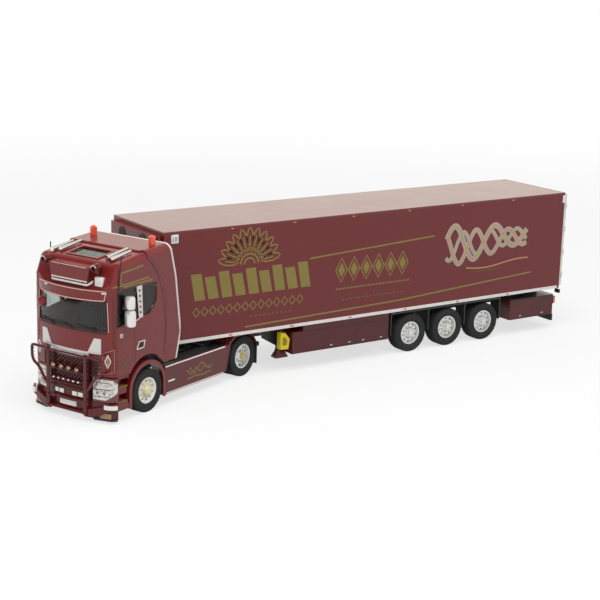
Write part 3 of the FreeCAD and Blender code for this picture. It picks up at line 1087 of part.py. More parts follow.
def rear_door(side):
    face = -BOX_L + DOOR_T
    low, high = BOX_BOTTOM_Z + FLOOR_T, BOX_TOP_Z - ROOF_T
    outer = BOX_HALF + HINGE_OUT - HINGE_R - SIDE_GAP
    leaf = block(-BOX_L, face - DOOR_GAP, side * DOOR_GAP, side * outer, low, high)
    axis_x, axis_y = -BOX_L + DOOR_T / 2 - DOOR_GAP / 2, side * (BOX_HALF + HINGE_OUT)
    knuckles = []
    step = (high - low) / HINGE_COUNT
    for k in range(HINGE_COUNT):
        z = low + step * (k + 1 / 2)
        knuckles.append(rod(V(axis_x, axis_y, z - HINGE_R * 3), V(axis_x, axis_y, z + HINGE_R * 3), HINGE_R))
        knuckles.append(block(axis_x - HINGE_R, axis_x + HINGE_R, side * (outer - HINGE_R), axis_y, z - HINGE_R * 2,
                              z + HINGE_R * 2))
    add("rear_door_" + SIDE_NAMES[side], joined(leaf, *knuckles))
    rods = []
    for share in ROD_Y_SHARES:
        y = side * share * BOX_HALF
        bar = rod(V(-BOX_L - ROD_R, y, low + ROD_R), V(-BOX_L - ROD_R, y, high - ROD_R), ROD_R)
        lever = block(-BOX_L - ROD_R * 2, -BOX_L - ROD_R, y, y + side * ROD_R * 12, low + step - ROD_R,
                      low + step + ROD_R)
        rods.append(joined(bar, lever))
    add("door_rods_" + SIDE_NAMES[side], *rods)


def cooling_unit():
    back = slab_xy([(UNIT_L, -UNIT_HALF), (UNIT_L, UNIT_HALF), (0, UNIT_HALF), (0, -UNIT_HALF)],
                   [UNIT_R, UNIT_R, 0, 0], UNIT_LOW_Z, UNIT_TOP_Z)
    half = UNIT_BULGE_HALF
    bulge = slab_xy([(UNIT_BULGE_L, -half), (UNIT_BULGE_L, half), (0, half), (0, -half)],
                    [UNIT_BULGE_R, UNIT_BULGE_R, 0, 0], UNIT_LOW_Z, UNIT_BULGE_TOP_Z)
    slots = []
    for k in range(LOUVRES):
        z = UNIT_BULGE_TOP_Z - LOUVRE_STEP * (k + 1)
        slots.append(block(UNIT_BULGE_L - LOUVRE_T, UNIT_BULGE_L + OVERRUN, -LOUVRE_HALF, LOUVRE_HALF, z,
                           z + LOUVRE_H))
    add("cooling_unit", joined(back, bulge).cut(slots))


FRAME_Y = 8.8
FRAME_W = 1.4
FRAME_LOW_Z = 16.4
FRAME_FRONT_X = -70.0
FRAME_REAR_X = -260.4
FRAME_CROSS_STEP = 32.0
LEG_X = -73.4
LEG_Y = 18.4
LEG_W = 2.8
LEG_IN_W = 2.0
LEG_LOW_Z = 12.0
LEG_FOOT_Z = 6.6
LEG_FOOT_W = 4.4
LEG_FOOT_L = 7.6
CHOCK_T = 1.2
CHOCK_W = 5.4
CHOCK_H = 8.6
BOX_FRONT_X = -76.3
BOX_NOTCH_L = 6.6
BOX_NOTCH_H = 3.0
BOX_REAR_X = -139.0
BOX_IN_Y = 13.0
BOX_LOW_Z = 9.3
REAR_BOX_FRONT_X = -227.0
REAR_BOX_REAR_X = -260.3
REAR_BOX_LOW_Z = 8.8
REAR_BOX_TOP_Z = 20.6
GUARD_TOP_Z = 22.6
GUARD_PLATE_T = 0.8
GUARD_TAB_LOW_Z = 10.8
GUARD_FRONT = 14.0
GUARD_STEP = 26.0
TRAILER_GUARD_IN_Y = 15.4
UNDERRUN_X = -260.7
UNDERRUN_Z = 4.4
UNDERRUN_H = 3.8
LAMP_BAR_Z = 14.6
LAMP_BAR_H = 4.4
UNDERRUN_HALF = 24.6
LAMP_BOX_W = 8.0
LAMP_BOX_T = 1.2


def trailer_axle_x(index):
    return -TRAILER_AXLE_MID + (1 - index) * TRAILER_AXLE_STEP


def trailer_frame():
    rails = [block(FRAME_REAR_X, FRAME_FRONT_X, side * FRAME_Y, side * (FRAME_Y + FRAME_W), FRAME_LOW_Z,
                   BOX_BOTTOM_Z) for side in SIDES]
    count = int((FRAME_FRONT_X - FRAME_REAR_X) / FRAME_CROSS_STEP)
    step = (FRAME_FRONT_X - FRAME_REAR_X - FRAME_W * 2) / count
    crosses = [block(x - FRAME_W / 2, x + FRAME_W / 2, -FRAME_Y, FRAME_Y, FRAME_LOW_Z + FRAME_W,
                     BOX_BOTTOM_Z - FRAME_W) for x in [FRAME_FRONT_X - FRAME_W - k * step for k in range(count + 1)]]
    add("trailer_frame", joined(*(rails + crosses)))
    hangers = []
    for index in range(TRAILER_AXLES):
        x = trailer_axle_x(index)
        bore = rod(V(x, -BOX_HALF, HUB_Z), V(x, BOX_HALF, HUB_Z), AXLE_R + RUN_GAP)
        hangers += [piece.cut(bore) for piece in hangers_at(x, FRAME_LOW_Z, FRAME_Y, HUB_Z, AXLE_R + RUN_GAP)]
    add("axle_hangers", *hangers)
    pin_x = -KINGPIN_SETBACK
    plate = block(-COUPLING_L, 0, -COUPLING_HALF, COUPLING_HALF, KINGPIN_PLATE_Z, BOX_BOTTOM_Z)
    pin = rod(V(pin_x, 0, FIFTH_TOP_Z - FIFTH_T), V(pin_x, 0, KINGPIN_PLATE_Z), KINGPIN_R)
    add("coupling_plate", joined(plate, pin))


def landing_gear():
    parts = []
    for side in SIDES:
        y = side * LEG_Y
        parts.append(block(LEG_X - LEG_W / 2, LEG_X + LEG_W / 2, y - LEG_W / 2, y + LEG_W / 2, LEG_LOW_Z,
                           BOX_BOTTOM_Z))
        parts.append(block(LEG_X - LEG_IN_W / 2, LEG_X + LEG_IN_W / 2, y - LEG_IN_W / 2, y + LEG_IN_W / 2,
                           LEG_FOOT_Z, LEG_LOW_Z))
        parts.append(block(LEG_X - LEG_FOOT_L / 2, LEG_X + LEG_FOOT_L / 2, y - LEG_FOOT_W / 2, y + LEG_FOOT_W / 2,
                           LEG_FOOT_Z, LEG_FOOT_Z + LEG_IN_W / 2))
        holder_y = side * (LEG_Y + LEG_W / 2)
        parts.append(block(LEG_X - CHOCK_W / 2, LEG_X + CHOCK_W / 2, holder_y, holder_y + side * CHOCK_T, LEG_LOW_Z,
                           LEG_LOW_Z + CHOCK_H))
    parts.append(block(LEG_X - LEG_IN_W / 2, LEG_X + LEG_IN_W / 2, -LEG_Y, LEG_Y, LEG_LOW_Z + LEG_W,
                       LEG_LOW_Z + LEG_W * 3 / 2))
    add("landing_gear", joined(*parts))


def trailer_boxes():
    pallet = block(BOX_REAR_X, BOX_FRONT_X, BOX_IN_Y, BOX_HALF, BOX_LOW_Z, BOX_BOTTOM_Z)
    pallet = pallet.cut(block(BOX_FRONT_X - BOX_NOTCH_L, BOX_FRONT_X, BOX_IN_Y, BOX_HALF,
                              BOX_BOTTOM_Z - BOX_NOTCH_H, BOX_BOTTOM_Z))
    rear = block(REAR_BOX_REAR_X, REAR_BOX_FRONT_X, BOX_IN_Y, BOX_HALF, REAR_BOX_LOW_Z, REAR_BOX_TOP_Z)
    ties = [block(x - FRAME_W / 2, x + FRAME_W / 2, FRAME_Y + FRAME_W, BOX_IN_Y + FRAME_W, REAR_BOX_TOP_Z - FRAME_W,
                  REAR_BOX_TOP_Z) for x in (REAR_BOX_REAR_X + FRAME_W * 2, REAR_BOX_FRONT_X - FRAME_W * 2)]
    add("side_boxes", *(both_sides(pallet) + both_sides(joined(rear, *ties))))
    front = trailer_axle_x(0) + GUARD_FRONT
    count = TRAILER_AXLES + 1
    edges = [front - GUARD_STEP * k for k in range(count)]
    half = FLAP_T / 2
    top = block(edges[-1] - half, edges[0] + half, TRAILER_GUARD_IN_Y, BOX_HALF, GUARD_TOP_Z,
                GUARD_TOP_Z + GUARD_PLATE_T)
    stays = [block(x - FRAME_W / 2, x + FRAME_W / 2, FRAME_Y + FRAME_W, TRAILER_GUARD_IN_Y + FRAME_W, GUARD_TOP_Z,
                   GUARD_TOP_Z + GUARD_PLATE_T) for x in (trailer_axle_x(0), trailer_axle_x(TRAILER_AXLES - 1))]
    tabs = [block(x - half, x + half, TRAILER_GUARD_IN_Y + FRAME_W * 2, BOX_HALF, GUARD_TAB_LOW_Z,
                  GUARD_TOP_Z + GUARD_PLATE_T) for x in edges]
    add("trailer_mudguards", *both_sides(joined(top, *(stays + tabs))))


def rear_underrun():
    rear = UNDERRUN_X - FRAME_W
    bars = [block(rear, UNDERRUN_X, -UNDERRUN_HALF, UNDERRUN_HALF, z, z + height)
            for z, height in ((UNDERRUN_Z, UNDERRUN_H), (LAMP_BAR_Z, LAMP_BAR_H))]
    drops = [block(rear, FRAME_REAR_X, side * FRAME_Y, side * (FRAME_Y + FRAME_W), UNDERRUN_Z, BOX_BOTTOM_Z)
             for side in SIDES]
    add("rear_underrun", joined(*(bars + drops)))
    lamps = [block(rear - LAMP_BOX_T, rear, side * (UNDERRUN_HALF - LAMP_BOX_W), side * UNDERRUN_HALF, LAMP_BAR_Z,
                   LAMP_BAR_Z + LAMP_BAR_H) for side in SIDES]
    add("trailer_lamps", *lamps)


def trailer_wheels(index):
    x = trailer_axle_x(index)
    y = BOX_HALF - SEAT_GAP - TRAILER_TYRE_W / 2
    tyres = [tyre(V(x, side * y, HUB_Z), TRAILER_TYRE_W) for side in SIDES]
    metal = [rod(V(x, -y, HUB_Z), V(x, y, HUB_Z), AXLE_R)]
    metal += [rim(V(x, side * y, HUB_Z), side, TRAILER_TYRE_W, TRAILER_DISH, TRAILER_NOSE, AXLE_R / 2)
              for side in SIDES]
    add("trailer_tyres_" + str(index + 1), *tyres)
    add("trailer_axle_" + str(index + 1), joined(*metal))


# Build everything, turn the tractor about the kingpin and set the origin under the whole
def build():
    for maker in (cab_shell, cab_windows, cab_interior, air_deflector, front_grille, front_trim, headlamps, bumper,
                  cab_steps, bull_bar, sun_visor, light_box, roof_lamps, air_horns, beacons, mirrors, aerials,
                  chassis_frame, front_axle, drive_wheels, fifth_wheel, mudguards, side_skirts):
        maker()
    for side in SIDES:
        steering_knuckle(side)
        front_wheel(side)
    tractor = list(nodes)
    trailer_box()
    for side in SIDES:
        rear_door(side)
    for maker in (cooling_unit, trailer_frame, landing_gear, trailer_boxes, rear_underrun):
        maker()
    for index in range(TRAILER_AXLES):
        trailer_wheels(index)
    return tractor


def place(tractor):
    for name in tractor:
        for solid in nodes[name]:
            solid.rotate(V(0, 0, 0), Z_AXIS, ARTICULATION_DEG)
            solid.translate(V(-KINGPIN_SETBACK, 0, 0))
    bounds = FreeCAD.BoundBox()
    for solids in nodes.values():
        for solid in solids:
            bounds.add(solid.optimalBoundingBox(True, False))
    shift = V(-bounds.Center.x, -bounds.Center.y, -bounds.ZMin)
    for solids in nodes.values():
        for solid in solids:
            solid.translate(shift)
    return shift


def write():
    os.makedirs("parts", exist_ok=True)
    for name, solids in nodes.items():
        shape = solids[0] if len(solids) == 1 else Part.makeCompound(solids)
        shape.exportStep(os.path.join("parts", name + ".step"))


shift = place(build())
write()
print("trailer front wall at", shift.x, shift.y, shift.z, "nodes", len(nodes))
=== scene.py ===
import bpy
import bmesh
import json
import math
from mathutils import Matrix, Vector
from mathutils.bvhtree import BVHTree


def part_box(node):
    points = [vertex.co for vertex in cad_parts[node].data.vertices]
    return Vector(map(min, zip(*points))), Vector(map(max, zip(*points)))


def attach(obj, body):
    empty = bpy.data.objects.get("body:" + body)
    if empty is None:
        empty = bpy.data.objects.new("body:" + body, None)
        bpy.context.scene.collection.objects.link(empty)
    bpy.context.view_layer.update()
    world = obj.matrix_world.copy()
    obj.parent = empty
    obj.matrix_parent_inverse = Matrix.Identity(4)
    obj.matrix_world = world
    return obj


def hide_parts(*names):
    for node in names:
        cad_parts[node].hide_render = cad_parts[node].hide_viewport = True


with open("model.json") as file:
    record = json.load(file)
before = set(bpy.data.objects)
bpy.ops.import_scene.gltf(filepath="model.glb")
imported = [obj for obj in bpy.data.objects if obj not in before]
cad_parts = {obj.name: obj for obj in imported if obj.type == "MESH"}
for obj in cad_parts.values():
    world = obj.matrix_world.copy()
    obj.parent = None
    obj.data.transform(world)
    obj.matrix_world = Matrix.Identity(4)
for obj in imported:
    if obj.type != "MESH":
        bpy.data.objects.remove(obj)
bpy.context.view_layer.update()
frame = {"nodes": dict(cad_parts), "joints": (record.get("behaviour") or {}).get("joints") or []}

# The camera looks down at the left front corner of the model from the photograph's angle.
# Its place was fitted to points of the photograph in the trailer's own frame.
walls_low, walls_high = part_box("trailer_walls")
front_wall = Vector((walls_high[0], (walls_low[1] + walls_high[1]) / 2, 0.0))
azimuth, elevation, roll = (math.radians(angle) for angle in (55.217, 13.876, 1.676))
lens, camera_distance = 89.49, 0.800547
target = front_wall + Vector((-0.098264, 0.0, 0.030133))
level_reach = math.cos(elevation)
back = Vector((level_reach * math.cos(azimuth), level_reach * math.sin(azimuth), math.sin(elevation)))
right = (-back).cross(Vector((0, 0, 1))).normalized()
up = right.cross(-back).normalized()
right_rolled = right * math.cos(roll) + up * math.sin(roll)
up_rolled = up * math.cos(roll) - right * math.sin(roll)
camera_data = bpy.data.cameras.new("photo_camera")
camera_data.lens, camera_data.sensor_width = lens, 36.0
camera_data.clip_start, camera_data.clip_end = 0.01, 10.0
camera = bpy.data.objects.new("photo_camera", camera_data)
bpy.context.scene.collection.objects.link(camera)
bpy.context.scene.camera = camera
turn = Matrix((right_rolled, up_rolled, back)).transposed()
camera.matrix_world = Matrix.Translation(target + back * camera_distance) @ turn.to_4x4()

# The stage is a plain pale floor under two wide soft lamps, with an even white surround.
# The camera and mirror-like surfaces see the floor near white, and it keeps the model's shadow.
def fresh_tree(owner):
    owner.use_nodes = True
    owner.node_tree.nodes.clear()
    return owner.node_tree


def node(tree, kind, inputs=None, **settings):
    """Adds a node, sets its settings, and fills its inputs with values or with other nodes' sockets."""
    made = tree.nodes.new(kind if kind.startswith(("Geometry", "Node")) else "ShaderNode" + kind)
    for key, value in settings.items():
        setattr(made, key, value)
    for key, value in (inputs or {}).items():
        if isinstance(value, bpy.types.NodeSocket):
            tree.links.new(value, made.inputs[key])
        else:
            made.inputs[key].default_value = value
    return made


def maths(tree, operation, *values, clamp=False):
    return node(tree, "Math", dict(enumerate(values)), operation=operation, use_clamp=clamp).outputs[0]


def vectors(tree, operation, first, second, output="Vector"):
    return node(tree, "VectorMath", {0: first, 1: second}, operation=operation).outputs[output]


def parts_of(tree, vector):
    return node(tree, "SeparateXYZ", {0: vector}).outputs


def spread(tree, value, low, high, to_low=0.0, to_high=1.0, kind="LINEAR"):
    """Maps a value between two limits onto another range."""
    limits = {"Value": value, "From Min": low, "From Max": high, "To Min": to_low, "To Max": to_high}
    return node(tree, "MapRange", limits, interpolation_type=kind).outputs[0]


def mix(tree, share, first, second, blend="MIX"):
    """Mixes two colours, each given as numbers or as a socket."""
    first, second = ((*colour, 1) if isinstance(colour, tuple) else colour for colour in (first, second))
    return node(tree, "Mix", {0: share, 6: first, 7: second}, data_type="RGBA", blend_type=blend).outputs[2]


floor_half = 12
floor_mesh = bpy.data.meshes.new("studio_floor")
quarters = ((-1, -1), (1, -1), (1, 1), (-1, 1))
floor_mesh.from_pydata([(x * floor_half, y * floor_half, 0) for x, y in quarters], [], [(0, 1, 2, 3)])
studio_floor = bpy.data.objects.new("studio_floor", floor_mesh)
bpy.context.scene.collection.objects.link(studio_floor)
floor_paper = bpy.data.materials.new("floor_paper")
tree = fresh_tree(floor_paper)
rays = node(tree, "LightPath").outputs
seen = maths(tree, "MAXIMUM", rays["Is Camera Ray"], rays["Is Transmission Ray"])
seen = maths(tree, "MAXIMUM", seen, rays["Is Glossy Ray"])
paper = node(tree, "BsdfDiffuse", {"Color": maths(tree, "MULTIPLY_ADD", rays["Is Diffuse Ray"], -0.40, 0.88)})
glow = node(tree, "Emission", {"Color": (1, 1, 1, 1), "Strength": 1.0})
away = vectors(tree, "LENGTH", node(tree, "TexCoord").outputs["Object"], (0, 0, 0), "Value")
share = maths(tree, "MULTIPLY", seen, spread(tree, away, 0.3, 1.0, 0.68, 1.0, "SMOOTHSTEP"))
mixed = node(tree, "MixShader", {0: share, 1: paper.outputs[0], 2: glow.outputs[0]})
node(tree, "OutputMaterial", {0: mixed.outputs[0]})
floor_mesh.materials.append(floor_paper)

world = bpy.data.worlds.new("studio_surround")
bpy.context.scene.world = world
tree = fresh_tree(world)
rays = node(tree, "LightPath").outputs
direction = node(tree, "TexCoord").outputs["Generated"]
dark_way = vectors(tree, "DOT_PRODUCT", direction, (0.978, -0.208, 0.0), "Value")
dark_side = maths(tree, "MULTIPLY", spread(tree, dark_way, 0.35, 0.92, kind="SMOOTHSTEP"),
                  rays["Is Glossy Ray"])
level = maths(tree, "SUBTRACT", 1.0, maths(tree, "MULTIPLY", dark_side, 0.8))
zenith = spread(tree, parts_of(tree, direction)[2], 0.55, 0.95, kind="SMOOTHSTEP")
zenith = maths(tree, "MULTIPLY", maths(tree, "MULTIPLY", zenith, rays["Is Glossy Ray"]), 0.6)
level = maths(tree, "SUBTRACT", level, zenith, clamp=True)
level = maths(tree, "SUBTRACT", level, maths(tree, "MULTIPLY", rays["Is Diffuse Ray"], 0.46))
warm = mix(tree, rays["Is Glossy Ray"], (1, 1, 1), (1.0, 0.99, 0.90))
node(tree, "OutputWorld", {0: node(tree, "Background", {"Color": warm, "Strength": level}).outputs[0]})

for name, lamp_place, lamp_size, lamp_power in (
    ("soft_box_above", (0.15, 0.35, 0.95), 0.9, 7.2),
    ("soft_box_front", (0.95, 0.35, 0.45), 0.6, 1.4),
):
    lamp_data = bpy.data.lights.new(name, "AREA")
    lamp_data.size, lamp_data.energy = lamp_size, lamp_power
    lamp = bpy.data.objects.new(name, lamp_data)
    lamp.location = lamp_place
    aim = front_wall + Vector((-0.05, 0, 0.04)) - lamp.location
    lamp.rotation_euler = aim.to_track_quat("-Z", "Y").to_euler()
    lamp.visible_glossy = False
    bpy.context.scene.collection.objects.link(lamp)
bpy.context.scene.view_settings.view_transform = "Standard"

# Chassis of the tractor and of the trailer: black frames, beams, hangers and flaps.
# The real ones are cast and painted satin black, and they are pinned under the bodies.
def new_group(name, kind, inputs, outputs):
    """A node group with sockets given by name and kind, and the sockets of its input."""
    group = bpy.data.node_groups.new(name, kind)
    for way, sockets in (("INPUT", inputs), ("OUTPUT", outputs)):
        for label, socket in sockets.items():
            group.interface.new_socket(label, in_out=way, socket_type="NodeSocket" + socket)
    return group, node(group, "NodeGroupInput").outputs


def cast_surface():
    """Builds the slight unevenness that every painted, moulded or plated surface of the model has."""
    group, given = new_group("cast_surface", "ShaderNodeTree",
                             {"Position": "Vector", "Grain": "Float", "Change": "Float", "Dust": "Float"},
                             {"Shade": "Float", "Rough": "Float", "Height": "Float"})
    broad, fine = (
        maths(group, "SUBTRACT", node(group, "TexNoise", {
            "Vector": given["Position"], "Scale": scale, "Detail": detail}).outputs[0], 0.5)
        for scale, detail in ((38.0, 3.0), (given["Grain"], 2.0)))
    both = maths(group, "ADD", maths(group, "MULTIPLY", broad, 1.2), maths(group, "MULTIPLY", fine, 0.7))
    low = spread(group, parts_of(group, given["Position"])[2], 0.022, 0.002)
    dust = maths(group, "MULTIPLY", low, given["Dust"])
    dust = maths(group, "MULTIPLY", dust, maths(group, "ADD", broad, 0.5))
    shade = maths(group, "ADD", maths(group, "MULTIPLY_ADD", both, given["Change"], 1.0), dust)
    rough = maths(group, "MULTIPLY_ADD", both, 0.12, dust)
    node(group, "NodeGroupOutput", {"Shade": shade, "Rough": rough, "Height": fine})
    return group


surface_group = cast_surface()


def finish(name, colour, rough=0.4, metal=0.0, coat=0.0, specular=0.5, grain=1500.0, change=0.12,
           dust=0.0, relief=0.000015, masks=()):
    """A material with the cast surface's shade, roughness and relief, painted over where a mask says."""
    made = bpy.data.materials.new(name)
    tree = fresh_tree(made)
    position = node(tree, "TexCoord").outputs["Object"]
    surface = node(tree, "Group", {"Position": position, "Grain": grain, "Change": change, "Dust": dust},
                   node_tree=surface_group).outputs
    for mask, other in masks:
        colour = mix(tree, mask(tree, position), colour, other)
    colour = mix(tree, 1.0, colour, surface["Shade"], "MULTIPLY")
    bump = node(tree, "Bump", {"Height": surface["Height"], "Distance": relief, "Strength": 0.6})
    shader = node(tree, "BsdfPrincipled", {
        "Base Color": colour, "Roughness": maths(tree, "ADD", surface["Rough"], rough, clamp=True),
        "Metallic": metal, "Coat Weight": coat, "Coat Roughness": 0.04, "Specular IOR Level": specular,
        "Normal": bump.outputs[0]})
    node(tree, "OutputMaterial", {0: shader.outputs[0]})
    return made


def wears(finish_used, *names):
    """Gives CAD nodes their finish."""
    for name in names:
        mesh = frame["nodes"][name].data
        mesh.materials.clear()
        mesh.materials.append(finish_used)


black_casting = finish("black_casting", (0.020, 0.020, 0.022), 0.42, change=0.5, dust=0.5,
                       grain=900.0)
bare_steel = finish("bare_steel", (0.42, 0.43, 0.44), 0.3, metal=1.0, change=0.2, grain=3000.0)
wears(black_casting, "chassis_frame", "front_axle", "trailer_frame", "axle_hangers", "coupling_plate",
      "tail_bar", "trailer_mudguards", "rear_underrun", "steering_knuckle_left", "steering_knuckle_right",
      "aerials")
wears(bare_steel, "fifth_wheel", "door_rods_left", "door_rods_right")

# Wheels: soft black tyres with ribs round the tread and blocks on the shoulders, on cast rims.
# The tyres are pushed over the rims; front rims are white and the others bright, with nuts round a hub cap.
joint_places = {joint["name"]: joint for joint in frame["joints"]}
pin = Vector(joint_places["fifth_wheel_turn"]["pos_m"])
wheel_axis = joint_places["roll_drive"]["axis"]
tractor_turn = math.atan2(-wheel_axis[0], wheel_axis[1])


def on_tractor(x, y, z):
    """A point in millimetres forward, left and up from the kingpin along the tractor."""
    c, s = math.cos(tractor_turn), math.sin(tractor_turn)
    return Vector((pin.x + (c * x - s * y) / 1000, pin.y + (s * x + c * y) / 1000, z / 1000))


def on_trailer(x, y, z):
    """A point in millimetres forward, left and up from the middle of the trailer's front wall."""
    return Vector((front_wall.x + x / 1000, front_wall.y + y / 1000, z / 1000))


def skin(loops, wrap=False):
    """Skins a row of loops, in millimetres along their vehicle, with caps at its ends unless it closes."""
    n, rows = len(loops[0]), len(loops)
    corners = [tuple(p) for loop in loops for p in loop]
    faces = []
    for k in range(rows if wrap else rows - 1):
        m = (k + 1) % rows
        for i in range(n):
            j = (i + 1) % n
            faces.append((k * n + i, k * n + j, m * n + j, m * n + i))
    if not wrap:
        faces += [tuple(range(n)), tuple(range((rows - 1) * n, rows * n))]
    return corners, faces


def bar(one, other, chamfer=0.15):
    """A bar with chamfered edges between two corners."""
    low, high = ([pick(pair) for pair in zip(one, other)] for pick in (min, max))
    spans = [high[k] - low[k] for k in range(3)]
    long_way = spans.index(max(spans))
    a, b = [k for k in range(3) if k != long_way]
    c = min(chamfer, spans[a] * 0.35, spans[b] * 0.35)
    loops = []
    start, stop = low[long_way], high[long_way]
    for end, inset in ((start, c), (start + c, 0), (stop - c, 0), (stop, c)):
        a0, a1, b0, b1 = low[a] + inset, high[a] - inset, low[b] + inset, high[b] - inset
        loop = []
        for u, v in ((a0 + c, b0), (a1 - c, b0), (a1, b0 + c), (a1, b1 - c),
                     (a1 - c, b1), (a0 + c, b1), (a0, b1 - c), (a0, b0 + c)):
            p = [0, 0, 0]
            p[long_way], p[a], p[b] = end, u, v
            loop.append(p)
        loops.append(loop)
    return skin(loops)


def turns(sides):
    return [2 * math.pi * k / sides for k in range(sides)]


def spun(profile, centre, axis, sides=32, wrap=False):
    """Turns a profile of radius and height about an axis through a centre."""
    axis = Vector(axis).normalized()
    first = axis.orthogonal().normalized()
    second = axis.cross(first)
    centre = Vector(centre)
    return skin([[centre + axis * height + (first * math.cos(t) + second * math.sin(t)) * max(radius, 0.004)
                  for t in turns(sides)] for radius, height in profile], wrap)


def mirrored(shapes):
    """The same shapes on the other side of the vehicle."""
    return [([(x, -y, z) for x, y, z in corners], faces) for corners, faces in shapes]


def moved(shapes, dx, dy, dz):
    return [([(x + dx, y + dy, z + dz) for x, y, z in corners], faces) for corners, faces in shapes]


def joined(shapes):
    """Several shapes' corners and faces as one shape."""
    corners, faces = [], []
    for shape_corners, shape_faces in shapes:
        faces += [tuple(i + len(corners) for i in face) for face in shape_faces]
        corners += [tuple(p) for p in shape_corners]
    return corners, faces


def piece(name, shapes, finish_used, body="tractor", pair=False, replaces=()):
    """Joins shapes into one mesh in the shared frame, and gives it its body and finish."""
    put = on_trailer if body.startswith(("trailer", "door")) else on_tractor
    corners, faces = joined(shapes + mirrored(shapes) if pair else shapes)
    mesh = bpy.data.meshes.new(name)
    mesh.from_pydata([put(*p) for p in corners], [], faces)
    edit = bmesh.new()
    edit.from_mesh(mesh)
    bmesh.ops.remove_doubles(edit, verts=edit.verts, dist=1e-8)
    bmesh.ops.recalc_face_normals(edit, faces=edit.faces)
    edit.to_mesh(mesh)
    edit.free()
    mesh.shade_smooth()
    mesh.set_sharp_from_angle(angle=math.radians(35))
    mesh.materials.append(finish_used)
    made = bpy.data.objects.new(name, mesh)
    bpy.context.scene.collection.objects.link(made)
    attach(made, body)
    if replaces:
        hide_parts(*replaces)


def drape(names, points, towards, put=on_tractor, step=0.8, closed=False, reach=60):
    """Throws a path along a direction onto CAD nodes, and gives places and normals in millimetres."""
    meshes = [frame["nodes"][name].data for name in names]
    shapes = [([v.co for v in mesh.vertices], [p.vertices for p in mesh.polygons]) for mesh in meshes]
    surface = BVHTree.FromPolygons(*joined(shapes))
    origin = put(0, 0, 0)
    ex, ey = (put(1, 0, 0) - origin).normalized(), (put(0, 1, 0) - origin).normalized()
    towards = Vector(towards).normalized()
    world_towards = ex * towards.x + ey * towards.y + Vector((0, 0, towards.z))
    points = [Vector(p) for p in points]
    if closed:
        points.append(points[0])
    dense = [points[0]]
    for a, b in zip(points, points[1:]):
        count = max(1, math.ceil((b - a).length / step))
        dense += [a.lerp(b, (k + 1) / count) for k in range(count)]
    if closed:
        dense.pop()
    path = []
    for p in dense:
        hit, normal = surface.ray_cast(put(*(p - towards * reach)), world_towards)[:2]
        if hit is None:
            continue
        if normal.dot(world_towards) > 0:
            normal = -normal
        offset = (hit - origin) * 1000
        path.append(tuple(Vector((v.dot(ex), v.dot(ey), v.z)) for v in (offset, normal)))
    return path


def repeated_group():
    """A tree that sets copies of one shape at even steps along a line and round the wheel's axle."""
    group, given = new_group("even_copies", "GeometryNodeTree",
                             {"Shape": "Object", "Count": "Int", "Step": "Vector", "Turn": "Float",
                              "Finish": "Material"}, {"Geometry": "Geometry"})
    index = node(group, "GeometryNodeInputIndex").outputs[0]
    places = node(group, "VectorMath", {0: given["Step"], "Scale": index}, operation="SCALE").outputs[0]
    turned = node(group, "CombineXYZ", {1: maths(group, "MULTIPLY", index, given["Turn"])}).outputs[0]
    points = node(group, "GeometryNodePoints", {"Count": given["Count"], "Position": places}).outputs[0]
    shape = node(group, "GeometryNodeObjectInfo", {0: given["Shape"]}).outputs["Geometry"]
    copies = node(group, "GeometryNodeInstanceOnPoints",
                  {"Points": points, "Instance": shape, "Rotation": turned}).outputs[0]
    real = node(group, "GeometryNodeRealizeInstances", {0: copies}).outputs[0]
    dressed = node(group, "GeometryNodeSetMaterial", {0: real, "Material": given["Finish"]}).outputs[0]
    node(group, "NodeGroupOutput", {0: dressed})
    return group


copies_group = repeated_group()


def repeated(shapes, count, step=(0, 0, 0), turn_by=0.0):
    """Copies shapes at even steps by Geometry Nodes, and gives the result back as one shape."""
    corners, faces = joined(shapes)
    one, host = (bpy.data.objects.new(name, bpy.data.meshes.new(name))
                 for name in ("one_shape", "copies_host"))
    one.data.from_pydata(corners, [], faces)
    for made in (one, host):
        bpy.context.scene.collection.objects.link(made)
    modifier = host.modifiers.new("even_copies", "NODES")
    modifier.node_group = copies_group
    sockets = {item.name: item.identifier for item in copies_group.interface.items_tree}
    values = {"Shape": one, "Count": count, "Step": step, "Turn": turn_by, "Finish": black_casting}
    for name, value in values.items():
        modifier[sockets[name]] = value
    bpy.context.view_layer.update()
    mesh = bpy.data.meshes.new_from_object(host.evaluated_get(bpy.context.evaluated_depsgraph_get()))
    result = [tuple(v.co) for v in mesh.vertices], [tuple(p.vertices) for p in mesh.polygons]
    host.modifiers.remove(modifier)
    for made in (host, one):
        bpy.data.objects.remove(made)
    return result


def tyre(width):
    """One tyre of 21.2 mm: bead, bulged walls with two rings, ribbed tread and shoulder blocks."""
    half = width / 2
    wall = [(radius, -share * half) for radius, share in (
        (6.32, 0.74), (7.0, 0.92), (7.6, 0.965), (7.68, 1.0), (7.85, 1.0), (7.93, 0.975),
        (9.05, 0.985), (9.12, 1.0), (9.3, 1.0), (9.38, 0.97), (10.1, 0.93), (10.42, 0.86))]
    tread = [(radius, middle * half + side) for middle in (-0.58, -0.2, 0.2, 0.58)
             for radius, side in ((10.58, -0.24), (10.12, -0.15), (10.12, 0.15), (10.58, 0.24))]
    profile = wall + tread + [(radius, -height) for radius, height in reversed(wall)]
    blocks = [bar((-0.42, side * 0.86 * half, 9.75), (0.42, side * 0.985 * half, 10.45), 0.1)
              for side in (1, -1)]
    block_count = 44
    return [spun(profile, (0, 0, 0), (0, 1, 0), sides=72, wrap=True),
            repeated(blocks, block_count, turn_by=2 * math.pi / block_count)]


